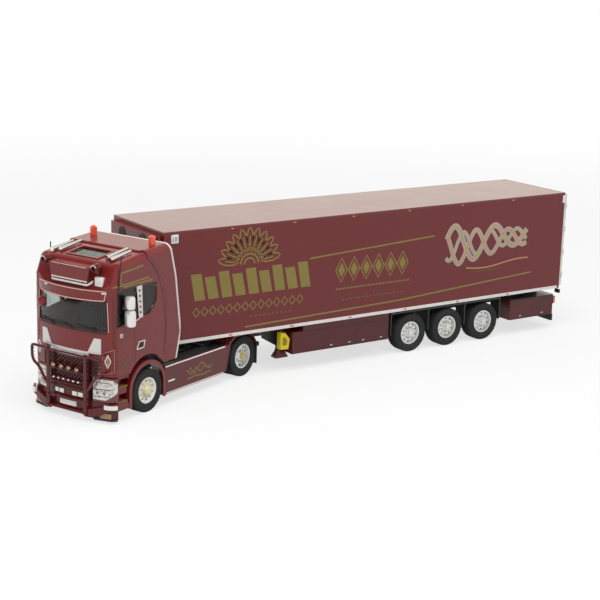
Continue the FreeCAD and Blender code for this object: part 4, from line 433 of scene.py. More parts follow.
tyre_rubber = finish("tyre_rubber", (0.026, 0.027, 0.027), 0.72, specular=0.3, change=0.35,
                     dust=0.9, grain=2600.0, relief=0.00003)
white_rim = finish("white_rim", (0.86, 0.85, 0.78), 0.3, coat=0.5, change=0.1, dust=0.2)
bright_rim = finish("bright_rim", (0.66, 0.67, 0.66), 0.24, metal=0.85, change=0.2,
                    grain=2500.0)
pale_hub = finish("pale_hub", (0.80, 0.75, 0.46), 0.32, coat=0.4)
gilt_hub = finish("gilt_hub", (0.52, 0.40, 0.14), 0.25, metal=0.6, coat=0.4, change=0.3)
hole_black = finish("hole_black", (0.012, 0.012, 0.013), 0.6, change=0.6)
wears(white_rim, "front_rim_left", "front_rim_right")
wears(bright_rim, "drive_axle", "trailer_axle_1", "trailer_axle_2", "trailer_axle_3")

hub_height, front_x, drive_x = 10.6, 69.0, -6.7
trailer_wheel_xs = (-154.8, -181.0, -207.2)
side_signs = (("left", 1), ("right", -1))
front_tyre, drive_tyre, trailer_tyre = tyre(6.2), tyre(5.2), tyre(7.4)
for side, sign in side_signs:
    piece("treaded_front_tyre_" + side, moved(front_tyre, front_x, 21.6 * sign, hub_height), tyre_rubber,
          "front_wheel_" + side, replaces=["front_tyre_" + side])
piece("treaded_drive_tyres", [shape for y in (21.8, 16.1, -16.1, -21.8)
                              for shape in moved(drive_tyre, drive_x, y, hub_height)],
      tyre_rubber, "drive_wheels", replaces=["drive_tyres"])
for number, x in enumerate(trailer_wheel_xs, 1):
    piece("treaded_trailer_tyres_%d" % number,
          [shape for y in (21.8, -21.8) for shape in moved(trailer_tyre, x, y, hub_height)],
          tyre_rubber, "trailer_wheels_%d" % number, replaces=["trailer_tyres_%d" % number])


def wheel_face(cad_node, x, outward, body, hub_finish, hub_radius, name, flange=0.0, put=on_tractor):
    """Hub cap, ring of nuts and the dark holes round them, set on the rim's dished face."""
    axis, outside = (0, outward, 0), 41.8

    def face_at(radius, angle):
        start = (x + radius * math.sin(angle), outward * outside, hub_height + radius * math.cos(angle))
        return drape([cad_node], [start], (0, -outward, 0), put)[0][0].y

    middle, ring, holes = face_at(0.9, 0.4), face_at(3.0, 0.3), face_at(4.55, 0.3)
    cap = [(0.0, 1.1)] + [(hub_radius * share, height) for share, height in (
        (0.55, 1.1), (0.72, 0.95), (0.8, 0.5), (1.0, 0.3), (1.0, -0.5))] + [(0.0, -0.5)]
    hub = [spun(cap, (x, max(middle * outward, ring * outward) * outward, hub_height), axis, 28)]
    if flange:
        profile = [(0.0, 0.12), (flange - 0.25, 0.12), (flange, -0.05), (flange, -0.3), (0.0, -0.3)]
        hub.append(spun(profile, (x, ring, hub_height), axis, 36))
    piece(name + "_hub", hub, hub_finish, body)
    nut = spun([(0.0, 0.45), (0.2, 0.42), (0.27, 0.3), (0.27, -0.3), (0.0, -0.3)], (0, 0, 3.05), axis, 6)
    hole = spun([(0.0, 0.03), (0.42, 0.03), (0.42, -0.2), (0.0, -0.2)], (0, 0, 4.55), axis, 14)
    for label, shape, depth, used in (("_nuts", nut, ring, bare_steel), ("_holes", hole, holes, hole_black)):
        ring_of_ten = repeated([shape], 10, turn_by=math.pi / 5)
        piece(name + label, moved([ring_of_ten], x, depth, hub_height), used, body)


for side, sign in side_signs:
    wheel = "front_wheel_" + side
    wheel_face("front_rim_" + side, front_x, sign, wheel, pale_hub, 2.5, wheel, 3.9)
    wheel_face("drive_axle", drive_x, sign, "drive_wheels", gilt_hub, 1.9, "drive_wheel_" + side)
    for number, x in enumerate(trailer_wheel_xs, 1):
        wheel_face("trailer_axle_%d" % number, x, sign, "trailer_wheels_%d" % number, bright_rim, 2.2,
                   "trailer_wheel_%d_%s" % (number, side), put=on_trailer)

# Painted bodies: thin castings in deep wine-red gloss, with pale and gold lines printed on them.
# Areas of another colour are masks in millimetres along the vehicle. The lockers' and skirts' darker wine,
# and their near-black tops and inner faces, are painted shade.
def tractor_millimetres(tree, position):
    """The place on the tractor in millimetres forward, left and up from the kingpin."""
    shifted = vectors(tree, "SUBTRACT", position, (pin.x, pin.y, 0))
    turned = node(tree, "VectorRotate", {"Vector": shifted, "Axis": (0, 0, 1),
                                         "Angle": -tractor_turn}).outputs[0]
    return vectors(tree, "MULTIPLY", turned, (1000, 1000, 1000))


def line_group():
    """A mask that is 1 within a half width of a straight line between two points."""
    group, given = new_group("painted_line", "ShaderNodeTree", {
        "Position": "Vector", "Start": "Vector", "End": "Vector", "Half width": "Float"}, {"Mask": "Float"})
    away = vectors(group, "SUBTRACT", given["Position"], given["Start"])
    along = vectors(group, "SUBTRACT", given["End"], given["Start"])
    share = maths(group, "DIVIDE", vectors(group, "DOT_PRODUCT", away, along, "Value"),
                  vectors(group, "DOT_PRODUCT", along, along, "Value"), clamp=True)
    foot = node(group, "VectorMath", {0: along, "Scale": share}, operation="SCALE").outputs[0]
    over = maths(group, "SUBTRACT", given["Half width"], vectors(group, "DISTANCE", away, foot, "Value"))
    node(group, "NodeGroupOutput", {0: maths(group, "MULTIPLY_ADD", over, 12.0, 0.5, clamp=True)})
    return group


painted_line = line_group()


def deflector_edge(tree, position):
    """The pale line along the rear edge of the air deflector's wings, given forward and up."""
    flat = vectors(tree, "MULTIPLY", tractor_millimetres(tree, position), (1, 0, 1))
    points, total = [(53.4, 79.6), (48.9, 62.8), (45.0, 35.1), (48.2, 21.6)], 0.0
    for (x0, z0), (x1, z1) in zip(points, points[1:]):
        line = node(tree, "Group", {"Position": flat, "Start": (x0, 0, z0), "End": (x1, 0, z1),
                                    "Half width": 0.75}, node_tree=painted_line)
        total = maths(tree, "MAXIMUM", total, line.outputs[0])
    return total


def rear_locker_top_painted_shadow(tree, position):
    """1 on the tops of the short boxes behind the trailer's wheels, which are painted near-black as shadow
    under the trailer's floor.
    """
    parts = parts_of(tree, position)
    behind = maths(tree, "LESS_THAN", parts[0], front_wall.x - 0.226)
    return maths(tree, "MULTIPLY", behind, maths(tree, "GREATER_THAN", parts[2], 0.0203))


def inside_skirt_painted_shade(tree, position):
    """1 on what faces inwards of the side skirts, which is painted near-black as shade."""
    parts = parts_of(tree, tractor_millimetres(tree, position))
    inside = maths(tree, "LESS_THAN", maths(tree, "ABSOLUTE", parts[1]), 24.25)
    return maths(tree, "MULTIPLY", inside, maths(tree, "GREATER_THAN", parts[2], 3.0))


def gloss(name, colour, rough=0.3, coat=0.55, specular=0.16, change=0.10, dust=0.0, relief=0.000004,
          masks=()):
    return finish(name, colour, rough, 0.0, coat, specular, 2200.0, change, dust, relief,
                  masks)


def ink(name, colour, change, rough=0.38, metal=0.0, grain=1500.0):
    return finish(name, colour, rough, metal, 0.3, 0.3, grain, change)


wine, cream, rear_white = (0.156, 0.0125, 0.0132), (0.80, 0.72, 0.66), (0.80, 0.78, 0.74)
wine_gloss = gloss("wine_gloss", wine, dust=0.15)
cab_wine = gloss("cab_wine", (0.188, 0.0135, 0.0142), 0.28, 0.6, 0.18, dust=0.15)
roof_gloss = gloss("roof_gloss", wine, coat=0.8, specular=0.22)
# The lockers are a darker wine than the walls as painted shade low under the trailer, and their rear tops are
# painted near-black as shadow.
locker_wine_painted_shade = gloss("locker_wine_painted_shade", (0.080, 0.0085, 0.0095), 0.32, 0.5, change=0.12, dust=0.3,
                    masks=[(rear_locker_top_painted_shadow, (0.015, 0.014, 0.014))])
deep_wine = gloss("deep_wine", (0.100, 0.0085, 0.0100), 0.34, change=0.14, relief=0.000005)
# The skirts are a darker wine than the cab as painted shade low on the tractor, and their inward faces are
# painted near-black as shade.
skirt_wine_painted_shade = gloss("skirt_wine_painted_shade", (0.105, 0.0095, 0.0110), 0.32, 0.5, change=0.12, dust=0.3,
                   masks=[(inside_skirt_painted_shade, (0.018, 0.017, 0.018))])
deflector_paint = gloss("deflector_paint", (0.182, 0.0135, 0.0142), coat=0.6, specular=0.18,
                        masks=[(deflector_edge, cream)])
cream_paint = finish("cream_paint", cream, 0.3, coat=0.6, change=0.07)
white_paint = finish("white_paint", (0.83, 0.81, 0.77), 0.28, coat=0.6, change=0.07, dust=0.2)
gold_print = ink("gold_print", (0.245, 0.190, 0.040), 0.25, 0.40, 0.2)
dark_gold = ink("dark_gold", (0.135, 0.085, 0.022), 0.35, 0.42, 0.2)
gap_black = finish("gap_black", (0.022, 0.008, 0.009), 0.7, change=0.4)
wears(cab_wine, "cab_shell", "light_box", "sun_visor", "mudguards")
wears(wine_gloss, "trailer_walls", "cooling_unit", "cab_steps")
wears(roof_gloss, "trailer_roof")
wears(locker_wine_painted_shade, "side_boxes")
wears(skirt_wine_painted_shade, "side_skirts")
wears(deep_wine, "landing_gear", "bumper")
wears(deflector_paint, "air_deflector")
wears(white_paint, "trailer_floor", "roof_rail")

# Cab side: printed gold lines, door gaps, the handle, and the pale strip between the windows.
# The lines are thin prints and grooves of the casting, so they lie on the panel.
def strip(path, width, lift=0.05, sink=0.12, closed=False):
    """A thin painted line along a path of points with their surface's normals."""
    loops, last = [], len(path) - 1
    for i, (p, normal) in enumerate(path):
        before, after = (i - 1, (i + 1) % len(path)) if closed else (max(i - 1, 0), min(i + 1, last))
        along = (path[after][0] - path[before][0]).normalized()
        across = along.cross(normal).normalized() * width / 2
        low, high = p - normal * sink, p + normal * lift
        loops.append([low + across, high + across, high - across, low - across])
    return skin(loops, closed)


def patch(outline, normal, lift=0.05, sink=0.1):
    """A thin flat plate inside an outline."""
    normal = Vector(normal)
    return skin([[Vector(p) - normal * sink for p in outline], [Vector(p) + normal * lift for p in outline]])


def side_patch(y, points, lift=0.05):
    """A thin plate on a left side, its outline given forward and up."""
    return patch([(x, y, z) for x, z in points], (0, 1, 0), lift)


def side_line(y, points, width, lift=0.05, closed=False):
    """A thin line on a flat left side, given forward and up."""
    return strip([(Vector((x, y, z)), Vector((0, 1, 0))) for x, z in points], width, lift, closed=closed)


def both_sides(names, lines, width, closed=False, lift=0.05):
    """Thin lines given forward and up, thrown onto the left side and mirrored."""
    paths = [drape(names, [(x, 30, z) for x, z in line], (0, -1, 0), closed=closed) for line in lines]
    shapes = [strip(path, width, lift, closed=closed) for path in paths if len(path) > 1]
    return shapes + mirrored(shapes)


cab_side, side_y = ["cab_shell", "air_deflector"], 24.7
piece("cab_gold_lines", both_sides(cab_side, [
    [(88.6, 66.2), (88.0, 70.4), (72.8, 71.6)],
    [(92.6, 64.4), (87.0, 64.6), (68.4, 65.4)],
    [(88.6, 66.2), (87.0, 64.6)],
    [(86.5, 63.6), (66.0, 63.9)]], 0.8), gold_print)
piece("cab_wing_seam", both_sides(cab_side, [
    [(79.2, 79.1), (72.4, 76.3), (66.3, 71.0), (61.8, 64.5), (58.7, 57.0),
     (57.3, 48.5), (56.3, 40.0), (57.5, 28.4), (58.4, 26.2)]], 0.35, lift=0.03), gap_black)
leaf = [[(89.6, 26.4), (87.2, 28.9), (83.6, 29.8), (85.2, 27.4), (88.4, 26.3)], [(89.2, 26.6), (84.4, 29.4)],
        [(87.6, 26.7), (86.6, 28.9)], [(86.0, 27.2), (85.4, 29.3)]]
piece("cab_leaf_ornament", both_sides(["cab_shell"], leaf, 0.5), dark_gold)
side_lamp = (88.0, side_y, 41.2)
ring = [(0.55, -0.2), (0.55, 0.22), (0.7, 0.34), (0.95, 0.3), (1.05, 0.1), (1.05, -0.2)]
glass = [(0.0, 0.18), (0.35, 0.14), (0.56, 0.02), (0.56, -0.1), (0.0, -0.1)]
piece("side_lamp_rings", [spun(ring, side_lamp, (0, 1, 0), 24, wrap=True)], cream_paint, pair=True)
piece("side_lamp_glasses", [spun(glass, side_lamp, (0, 1, 0), 18)], gap_black, pair=True)
piece("cab_door_gaps", both_sides(cab_side, [
    [(92.3, 60.5), (92.2, 22.6)], [(78.9, 46.8), (78.2, 26.6)],
    [(92.2, 63.2), (75.5, 63.2), (75.3, 47.0), (78.9, 45.0)]], 0.22, lift=0.02), gap_black)
handle = [(77.3, 32.5), (75.6, 35.8), (71.5, 35.8), (72.3, 32.6)]
piece("door_handle_rims", both_sides(["cab_shell"], [handle], 0.5, closed=True, lift=0.22), cream_paint)
handle_hollow = side_patch(side_y, [(76.7, 33.0), (75.4, 35.3), (72.1, 35.3), (72.8, 33.0)], 0.04)
piece("door_handle_hollows", [handle_hollow], gap_black, pair=True)
window_strip = [side_patch(side_y, [(75.7, 47.0), (77.4, 62.5), (73.7, 62.5), (72.9, 47.3)], 0.1),
                side_line(side_y, [(75.2, 47.1), (78.4, 46.2), (81.0, 45.9)], 0.5, 0.1)]
mark = side_patch(side_y, [(74.05, 49.4), (75.15, 49.4), (75.25, 50.3), (74.15, 50.3)], 0.16)
strip_marks = [shape for k in range(5) for shape in moved([mark], 0.2 * k, 0, 2.6 * k)]
piece("window_strip_marks", strip_marks, gap_black, pair=True)
piece("window_strips", window_strip, cream_paint, pair=True)

# Cab glass: clear plates set into the casting, with dark seals round them.
# The windscreen is the clearest; the side panes look dark against the cab's inside.
cab_glass = bpy.data.materials.new("cab_glass")
tree = fresh_tree(cab_glass)
position = node(tree, "TexCoord").outputs["Object"]
smear = node(tree, "TexNoise", {"Vector": position, "Scale": 220.0, "Detail": 2.0}).outputs[0]
screen = maths(tree, "GREATER_THAN", parts_of(tree, tractor_millimetres(tree, position))[0], 92.4)
tint = mix(tree, screen, (0.44, 0.50, 0.49), (0.78, 0.83, 0.81))
tint = mix(tree, maths(tree, "MULTIPLY", smear, 0.12), tint, (1, 1, 1))
shader = node(tree, "BsdfPrincipled", {"Base Color": tint, "Roughness": maths(tree, "MULTIPLY", smear, 0.02),
                                       "IOR": 1.35, "Transmission Weight": 1.0})
node(tree, "OutputMaterial", {0: shader.outputs[0]})
wears(cab_glass, "cab_windows")
blind_grey = finish("blind_grey", (0.24, 0.29, 0.30), 0.6, change=0.2)
piece("skylight_blind", [bar((76.3, -8.7, 74.0), (86.0, 8.7, 74.4), 0.1)], blind_grey)
cab_trim = finish("cab_trim", (0.085, 0.086, 0.084), 0.65, specular=0.3, change=0.25,
                  grain=3200.0)
wears(cab_trim, "cab_interior")
seal_rubber = finish("seal_rubber", (0.02, 0.02, 0.021), 0.6, change=0.4)
glazed = ["cab_shell", "cab_windows"]
piece("side_window_seals", both_sides(glazed, [
    [(75.3, 47.8), (75.3, 62.3), (90.6, 62.3), (91.2, 45.6), (79.5, 45.6), (75.6, 47.6)],
    [(73.7, 48.2), (73.7, 62.2), (65.0, 62.2), (63.2, 59.5), (63.2, 55.0), (65.5, 50.5), (69.5, 48.0)]],
    0.45, closed=True, lift=0.08), seal_rubber)


def on_front(names, points, **more):
    """Throws points given by width and height onto the front of the cab."""
    return drape(names, [(110, y, z) for y, z in points], (-1, 0, 0), **more)


screen_edge = on_front(glazed, [(20.9, 43.6), (-20.9, 43.6), (-20.2, 60.2), (20.2, 60.2)], closed=True)
piece("windscreen_seal", [strip(screen_edge, 0.7, 0.1, closed=True)], seal_rubber)
screen_sides = [on_front(["cab_shell"], [(21.6 * sign, 43.4), (20.9 * sign, 57.0)]) for sign in (1, -1)]
piece("windscreen_side_lines", [strip(path, 0.22, 0.12) for path in screen_sides], cream_paint)

# Wipers and the scuttle under the windscreen: black arms with blades, pinned at the scuttle.
# They lie against the glass and keep a little clear of it.
def pipe(points, radius, sides=12):
    """A round rod along a path, with flat ends."""
    points = [Vector(p) for p in points]
    loops, side = [], None
    for i, p in enumerate(points):
        along = (points[min(i + 1, len(points) - 1)] - points[max(i - 1, 0)]).normalized()
        side = (along.orthogonal() if side is None else side - along * side.dot(along)).normalized()
        other = along.cross(side)
        loops.append([p + (side * math.cos(t) + other * math.sin(t)) * radius for t in turns(sides)])
    return skin(loops)


wipers = [strip(on_front(["cab_shell"], [(20.5, 42.5), (-20.5, 42.5)]), 0.7, 0.12)]
for root, tip in ((15.5, 3.5), (3.0, -9.0), (-9.5, -19.0)):
    arm = on_front(glazed, [(root, 42.6), ((root + tip) / 2, 44.6)], step=1.5)
    blade = on_front(glazed, [(root - 1.0, 44.2), (tip, 44.9)], step=1.5)
    wipers += [pipe([p + n * 0.25 for p, n in arm], 0.22, 8), pipe([p + n * 0.22 for p, n in blade], 0.16, 6),
               spun([(0.0, 0.55), (0.4, 0.5), (0.45, -0.2), (0.0, -0.2)], arm[0][0], arm[0][1], 14)]
piece("wipers", wipers, seal_rubber)

# Sun visor and light box: curved wine-red mouldings over the windscreen with a pale edge line.
# The light box is a moulding seated on the roof's front edge, with a plain face between two pale lines.
top_half = [(22.3, 60.0), (22.0, 61.4), (21.2, 62.1), (0, 62.3)]
low_half = [(19.0, 57.7), (20.8, 58.1), (21.9, 58.9)]
other_half = [(-y, z) for y, z in reversed(low_half + top_half[:3])]
visor_line = on_front(["sun_visor"], top_half + other_half + [(0, 57.6)] + low_half, closed=True)
peach_line = finish("peach_line", (0.70, 0.47, 0.36), 0.35, coat=0.4, change=0.1)
piece("visor_edge_line", [strip(visor_line, 0.42, 0.08, closed=True)], peach_line)
marker_white = finish("marker_white", (0.86, 0.86, 0.84), 0.2, coat=1.0, change=0.1)
piece("visor_marker_lamps", [strip(on_front(["sun_visor"], [(y + 1.0, 61.3), (y - 1.0, 61.3)]), 0.6, 0.3)
                             for y in (19.5, -13.7)], marker_white)
box_lines = [strip(on_front(["light_box"], [(y, z), (-y, z)]), width, lift)
             for y, z, width, lift in ((11.6, 65.6, 0.6, 0.08), (10.6, 72.0, 0.25, 0.05))]
piece("light_box_lines", box_lines, cream_paint)

# Roof fittings and mirrors: chrome horns, orange beacons, drum lamps and a ribbed lamp, plated mirror shells.
# Each is pinned to the cab by its own small foot or bracket.
chrome = finish("chrome", (0.80, 0.80, 0.80), 0.08, metal=1.0, grain=800.0, relief=0.000003)
wears(chrome, "air_horns")
wears(finish("beacon_orange", (0.85, 0.075, 0.02), 0.2, coat=1.0, change=0.15), "beacons")


def housing(low, high):
    """A mirror housing with a rounded front, drawn in at its top and its foot."""
    (x0, y0, z0), (x1, y1, z1) = low, high
    middle, loops = (y0 + y1) / 2, []
    ends = ((0.0, 0.9), (0.35, 0.35), (1.0, 0.08), (2.0, 0.0))
    levels = [(z0 + rise, inset) for rise, inset in ends] + [(z1 - rise, inset) for rise, inset in ends[::-1]]
    for z, inset in levels:
        half = (y1 - y0) / 2 - inset
        front = [(x0 + (x1 - x0 - inset) * math.cos(t) ** 0.5, middle + half * math.sin(t), z)
                 for t in (math.radians(angle) for angle in range(-84, 85, 12))]
        rear_x = x0 + inset * 0.4
        loops.append([(rear_x, middle - half, z)] + front + [(rear_x, middle + half, z)])
    return skin(loops)


mirror_shell = finish("mirror_shell", (0.80, 0.78, 0.76), 0.14, metal=0.55, coat=0.9,
                      relief=0.000004)
shells = [housing((84.2, 25.2, 45.3), (87.5, 30.1, 53.2)), housing((84.2, 25.3, 53.4), (87.4, 29.7, 59.8))]
piece("door_mirrors", shells, mirror_shell, pair=True, replaces=["mirrors"])
brackets = [pipe([(85.4, 24.5, z), (85.4, 26.6, z)], 0.34, 10) for z in (46.6, 58.6)]
piece("mirror_brackets", brackets + [pipe([(85.6, 27.0, 45.0), (85.6, 27.0, 60.1)], 0.3, 8)], seal_rubber,
      pair=True)
piece("mirror_glasses", [bar((84.0, 25.9, 46.1), (84.25, 29.3, 52.4), 0.1),
                         bar((84.0, 26.0, 54.2), (84.25, 28.9, 59.1), 0.1)], bare_steel, pair=True)
kerb_x, kerb_y = 94.9, -17.4
kerb_cap = [(0.0, 2.1), (1.0, 2.05), (1.9, 1.7), (2.45, 0.9), (2.6, 0.0), (2.3, -0.15), (0.0, -0.15)]
piece("kerb_mirror_cap", [spun(kerb_cap, (kerb_x, kerb_y, 52.2), (1, 0, 0), 32),
                          pipe([(kerb_x + 0.4, kerb_y, 53.5), (kerb_x + 0.2, kerb_y, 57.6)], 0.35, 10)],
      cab_wine)
ribs = repeated([bar((93.9, 14.4, 64.5), (94.25, 14.7, 67.6), 0.08)], 7, step=(0, 0.56, 0))
piece("roof_box_lamp", [bar((91.6, 13.8, 63.8), (94.0, 18.4, 68.2), 0.35), ribs], marker_white,
      replaces=["roof_lamps"])
drum = [(0.0, 0.9), (0.85, 0.92), (0.95, 1.6), (1.15, 2.0), (1.75, 2.1), (1.95, 1.8), (1.98, -1.6),
        (1.4, -2.1), (0.0, -2.2)]
piece("roof_drums", [spun(drum, (94.3, 15.2, 72.5), (1, 0.12, 0), 32)], deep_wine, pair=True)
piece("roof_drum_feet", [bar((91.2, 14.3, 69.6), (93.8, 16.1, 72.0), 0.2)], deep_wine, pair=True)
drum_arc = [(96.5, 15.4 + 1.5 * math.cos(t), 72.5 + 1.5 * math.sin(t))
            for t in map(math.radians, range(20, 171, 10))]
piece("roof_drum_arcs", [pipe(drum_arc, 0.2, 8)], cream_paint, pair=True)

# Front of the cab: pale trim band, headlamps, turn lamps, corner frames and the blank number plate.
# The trim is a plated moulding, and the lamps are clear mouldings over bright reflectors.
def headlamp_shading(tree, position):
    """Darker fine ribs and blotches inside the headlamp, as a moulded reflector shows them."""
    local = tractor_millimetres(tree, position)
    ribs = node(tree, "Math", {0: maths(tree, "MULTIPLY", parts_of(tree, local)[1], 7.4)}, operation="SINE")
    blotch = node(tree, "TexNoise", {"Vector": local, "Scale": 0.75, "Detail": 2.0}).outputs[0]
    both = maths(tree, "MULTIPLY_ADD", ribs.outputs[0], 0.05, blotch)
    return spread(tree, both, 0.46, 0.68, 0.0, 0.75)


def headlamp_border(tree, position):
    """The painted rim above and below the clear lens, which narrows round the cab's corner."""
    parts = parts_of(tree, tractor_millimetres(tree, position))
    past_corner = maths(tree, "MINIMUM", maths(tree, "SUBTRACT", parts[0], 94.5), 0.0)
    along = maths(tree, "SUBTRACT", maths(tree, "ABSOLUTE", parts[1]), past_corner)

    def edge(start, slope, height):
        past = maths(tree, "MAXIMUM", maths(tree, "SUBTRACT", along, start), 0.0)
        return maths(tree, "MULTIPLY_ADD", past, slope, height)

    below = maths(tree, "LESS_THAN", parts[2], edge(21.0, 0.5, 10.8))
    return maths(tree, "MAXIMUM", below, maths(tree, "GREATER_THAN", parts[2], edge(25.5, -0.6, 20.6)))


def between(low, high, millimetres):
    """A mask that is 1 between two distances from the vehicle's middle."""
    def mask(tree, position):
        across = maths(tree, "ABSOLUTE", parts_of(tree, millimetres(tree, position))[1])
        return maths(tree, "MULTIPLY", maths(tree, "GREATER_THAN", across, low),
                     maths(tree, "LESS_THAN", across, high))
    return mask


wears(finish("trim_paint", (0.70, 0.68, 0.66), 0.22, metal=0.2, coat=0.8), "front_trim")
headlamp_masks = [(headlamp_shading, (0.20, 0.14, 0.12)), (headlamp_border, (0.13, 0.012, 0.014)),
                  (between(-1.0, 13.7, tractor_millimetres), (0.02, 0.012, 0.012))]
wears(finish("headlamp_face", (0.76, 0.73, 0.69), 0.12, metal=0.35, coat=1.0, change=0.25,
             grain=700.0, masks=headlamp_masks), "headlamps")
lamp_clear = finish("lamp_clear", (0.80, 0.77, 0.70), 0.14, metal=0.45, coat=1.0, change=0.25)
wears(finish("lamp_orange", (0.42, 0.20, 0.045), 0.2, coat=1.0, change=0.2), "turn_lamps")
plate = on_front(["front_trim"], [(4.9, 6.9), (-4.9, 6.9)])
piece("number_plate_blank", [strip(plate, 2.2, 0.1)], white_paint)

from_camera = (-math.cos(azimuth - tractor_turn), -math.sin(azimuth - tractor_turn), 0)


def on_corner(points, **more):
    """Throws points given by width and height onto the cab's left front corner, along the camera's view."""
    return drape(["cab_shell", "bumper", "headlamps"], [(94, y, z) for y, z in points], from_camera, **more)


pale_tan = finish("pale_tan", (0.42, 0.24, 0.17), 0.35, coat=0.4, change=0.15)
corner_frame = on_corner([(18.7, 32.9), (25.3, 35.3), (25.3, 24.7), (18.0, 22.9)], closed=True)
diamond = on_corner([(21.7, 32.6), (20.0, 29.3), (21.6, 26.3), (23.3, 29.6)], closed=True, step=0.5)
diamond_middle = on_corner([(21.65, 31.4), (21.65, 27.5)], step=0.5)
piece("corner_panel_frames", [strip(corner_frame, 0.22, 0.05, closed=True)], pale_tan, pair=True)
piece("corner_diamonds", [strip(diamond, 0.55, 0.1, closed=True)], cream_paint, pair=True)
piece("corner_diamond_middles", [strip(diamond_middle, 1.3, 0.08)], pale_tan, pair=True)

# Mesh grille: a flat expanded-metal mesh over a black tray, following the bow of the nose.
# Its strands cross at a slant, and a thin frame holds them.
def nose_at(y, proud=0.0):
    """A point on the bow of the nose and its outward direction, in millimetres."""
    nose_x, bow_radius, bow_half, corner_x, corner_radius = 96.4, 72.5, 21.3, 89.9, 3.4
    side = 1 if y >= 0 else -1
    if abs(y) <= bow_half:
        turned, radius, start = math.asin(abs(y) / bow_radius), bow_radius, (nose_x - bow_radius, 0.0)
    else:
        turned = math.asin(min((abs(y) - bow_half) / corner_radius, 1.0))
        radius, start = corner_radius, (corner_x, bow_half)
    out = Vector((math.cos(turned), side * math.sin(turned), 0))
    return Vector((start[0], side * start[1], 0)) + out * (radius + proud), out


def nose_plate(low_edge, high_edge, y0, y1, proud, thick, steps=10):
    """A plate along the nose between two widths, its edges level or functions of the width."""
    loops = []
    for k in range(steps + 1):
        y = y0 + (y1 - y0) * k / steps
        outer, out = nose_at(y, proud)
        inner = outer - out * thick
        low, high = (edge(abs(y)) if callable(edge) else edge for edge in (low_edge, high_edge))
        loops.append([(p.x, p.y, z) for p, z in ((inner, low), (outer, low), (outer, high), (inner, high))])
    return skin(loops)


def nose_strand(start, end, width, proud, thick):
    """A flat strand over the nose between points given by width and height."""
    (ya, za), (yb, zb) = start, end
    steps = max(2, int(abs(yb - ya) / 3.0))
    slant = Vector((yb - ya, zb - za)).normalized()
    dy, dz = -slant.y * width / 2, slant.x * width / 2
    loops = []
    for k in range(steps + 1):
        y, z = ya + (yb - ya) * k / steps, za + (zb - za) * k / steps
        loop = []
        for side in (1, -1):
            outer, out = nose_at(y + side * dy, proud)
            inner = outer - out * thick
            loop += [(p.x, p.y, z + side * dz) for p in ((outer, inner) if side == 1 else (inner, outer))]
        loops.append(loop)
    return skin(loops)


fields = [(-16.7, 16.7, 21.9, 29.3), (-11.6, 11.6, 14.8, 21.9)]
strand_pitch, strand_lean, strand_width, mesh_shapes = 2.2, 0.9, 0.42, []
for y_low, y_high, z_low, z_high in fields:
    run = (z_high - z_low) / strand_lean
    for k in range(1, int((y_high - y_low + run) / strand_pitch) + 1):
        ya, za, yb, zb = y_low - run + k * strand_pitch, z_low, y_low + k * strand_pitch, z_high
        if ya < y_low:
            za, ya = za + (y_low - ya) * strand_lean, y_low
        if yb > y_high:
            zb, yb = zb - (yb - y_high) * strand_lean, y_high
        if yb - ya < 0.4:
            continue
        mesh_shapes.append(nose_strand((ya, za), (yb, zb), strand_width, 0.22, 0.4))
        ya, yb = y_low + y_high - ya, y_low + y_high - yb
        mesh_shapes.append(nose_strand((ya, za), (yb, zb), strand_width, 0.10, 0.4))
for y_low, y_high, z_low, z_high in fields:
    mesh_shapes += [nose_plate(z - 0.35, z + 0.35, y_low - 0.4, y_high + 0.4, 0.35, 0.9)
                    for z in (z_low, z_high)]
    mesh_shapes += [nose_plate(z_low - 0.3, z_high + 0.3, y - 0.4, y + 0.4, 0.35, 0.9, 2)
                    for y in (y_low, y_high)]
piece("mesh_grille", mesh_shapes, deep_wine, replaces=["front_grille"])
piece("grille_tray", [nose_plate(z_low, z_high, y_low, y_high, -0.45, 0.5)
                      for y_low, y_high, z_low, z_high in fields], hole_black)

# Bull bar: two flat uprights with round cross tubes between them, a bent loop at each side,
# and a low wing plate at each corner. The real one is wire and plate soldered into one frame.
bar_x, upright_in, upright_out = 98.0, 10.5, 12.5


def wing_low(y):
    return 2.4 if y < 13.7 else 2.4 + (y - 13.7) * 0.34 if y < 19.0 else 4.2 + (y - 19.0) * 0.57


def wing_high(y):
    return 5.6 + (y - 10.5) * 0.282 if y < 19.0 else 8.0 + (y - 19.0) * 0.357


bar_shapes = []
for side in (1, -1):
    loop = [(11.5, 31.2), (20.2, 31.4), (21.2, 31.2), (21.7, 30.3), (21.6, 26.5), (21.3, 25.0), (20.4, 23.4),
            (17.9, 21.8), (16.9, 20.8), (13.2, 15.4), (11.8, 14.4)]
    bar_shapes += [
        bar((bar_x - 0.5, side * upright_in, 2.8), (bar_x + 0.5, side * upright_out, 31.6), 0.3),
        pipe([(bar_x, side * y, z) for y, z in loop], 0.7, 14),
        nose_plate(wing_low, wing_high, side * 10.5, side * 24.4, 2.2, 1.2, 14),
        bar((93.6, side * upright_in, 3.4), (bar_x, side * upright_out, 6.4), 0.2)]
for z, radius in ((4.0, 0.6), (9.4, 0.6), (14.6, 0.38), (16.3, 0.38), (18.0, 0.38), (22.7, 0.34),
                  (31.0, 0.5)):
    bar_shapes.append(pipe([(bar_x, -11.5, z), (bar_x, 11.5, z)], radius, 12))
piece("bull_bar_frame", bar_shapes, deep_wine, replaces=["bull_bar"])
clamp = [(0.0, 0.65), (0.85, 0.6), (0.95, 0.3), (0.95, -0.3), (0.85, -0.6), (0.0, -0.65)]
piece("bull_bar_clamps", [spun(clamp, (bar_x, side * 11.5, z), (0, 1, 0), 16)
                          for side in (1, -1) for z in (4.0, 9.4, 31.2)], deep_wine)

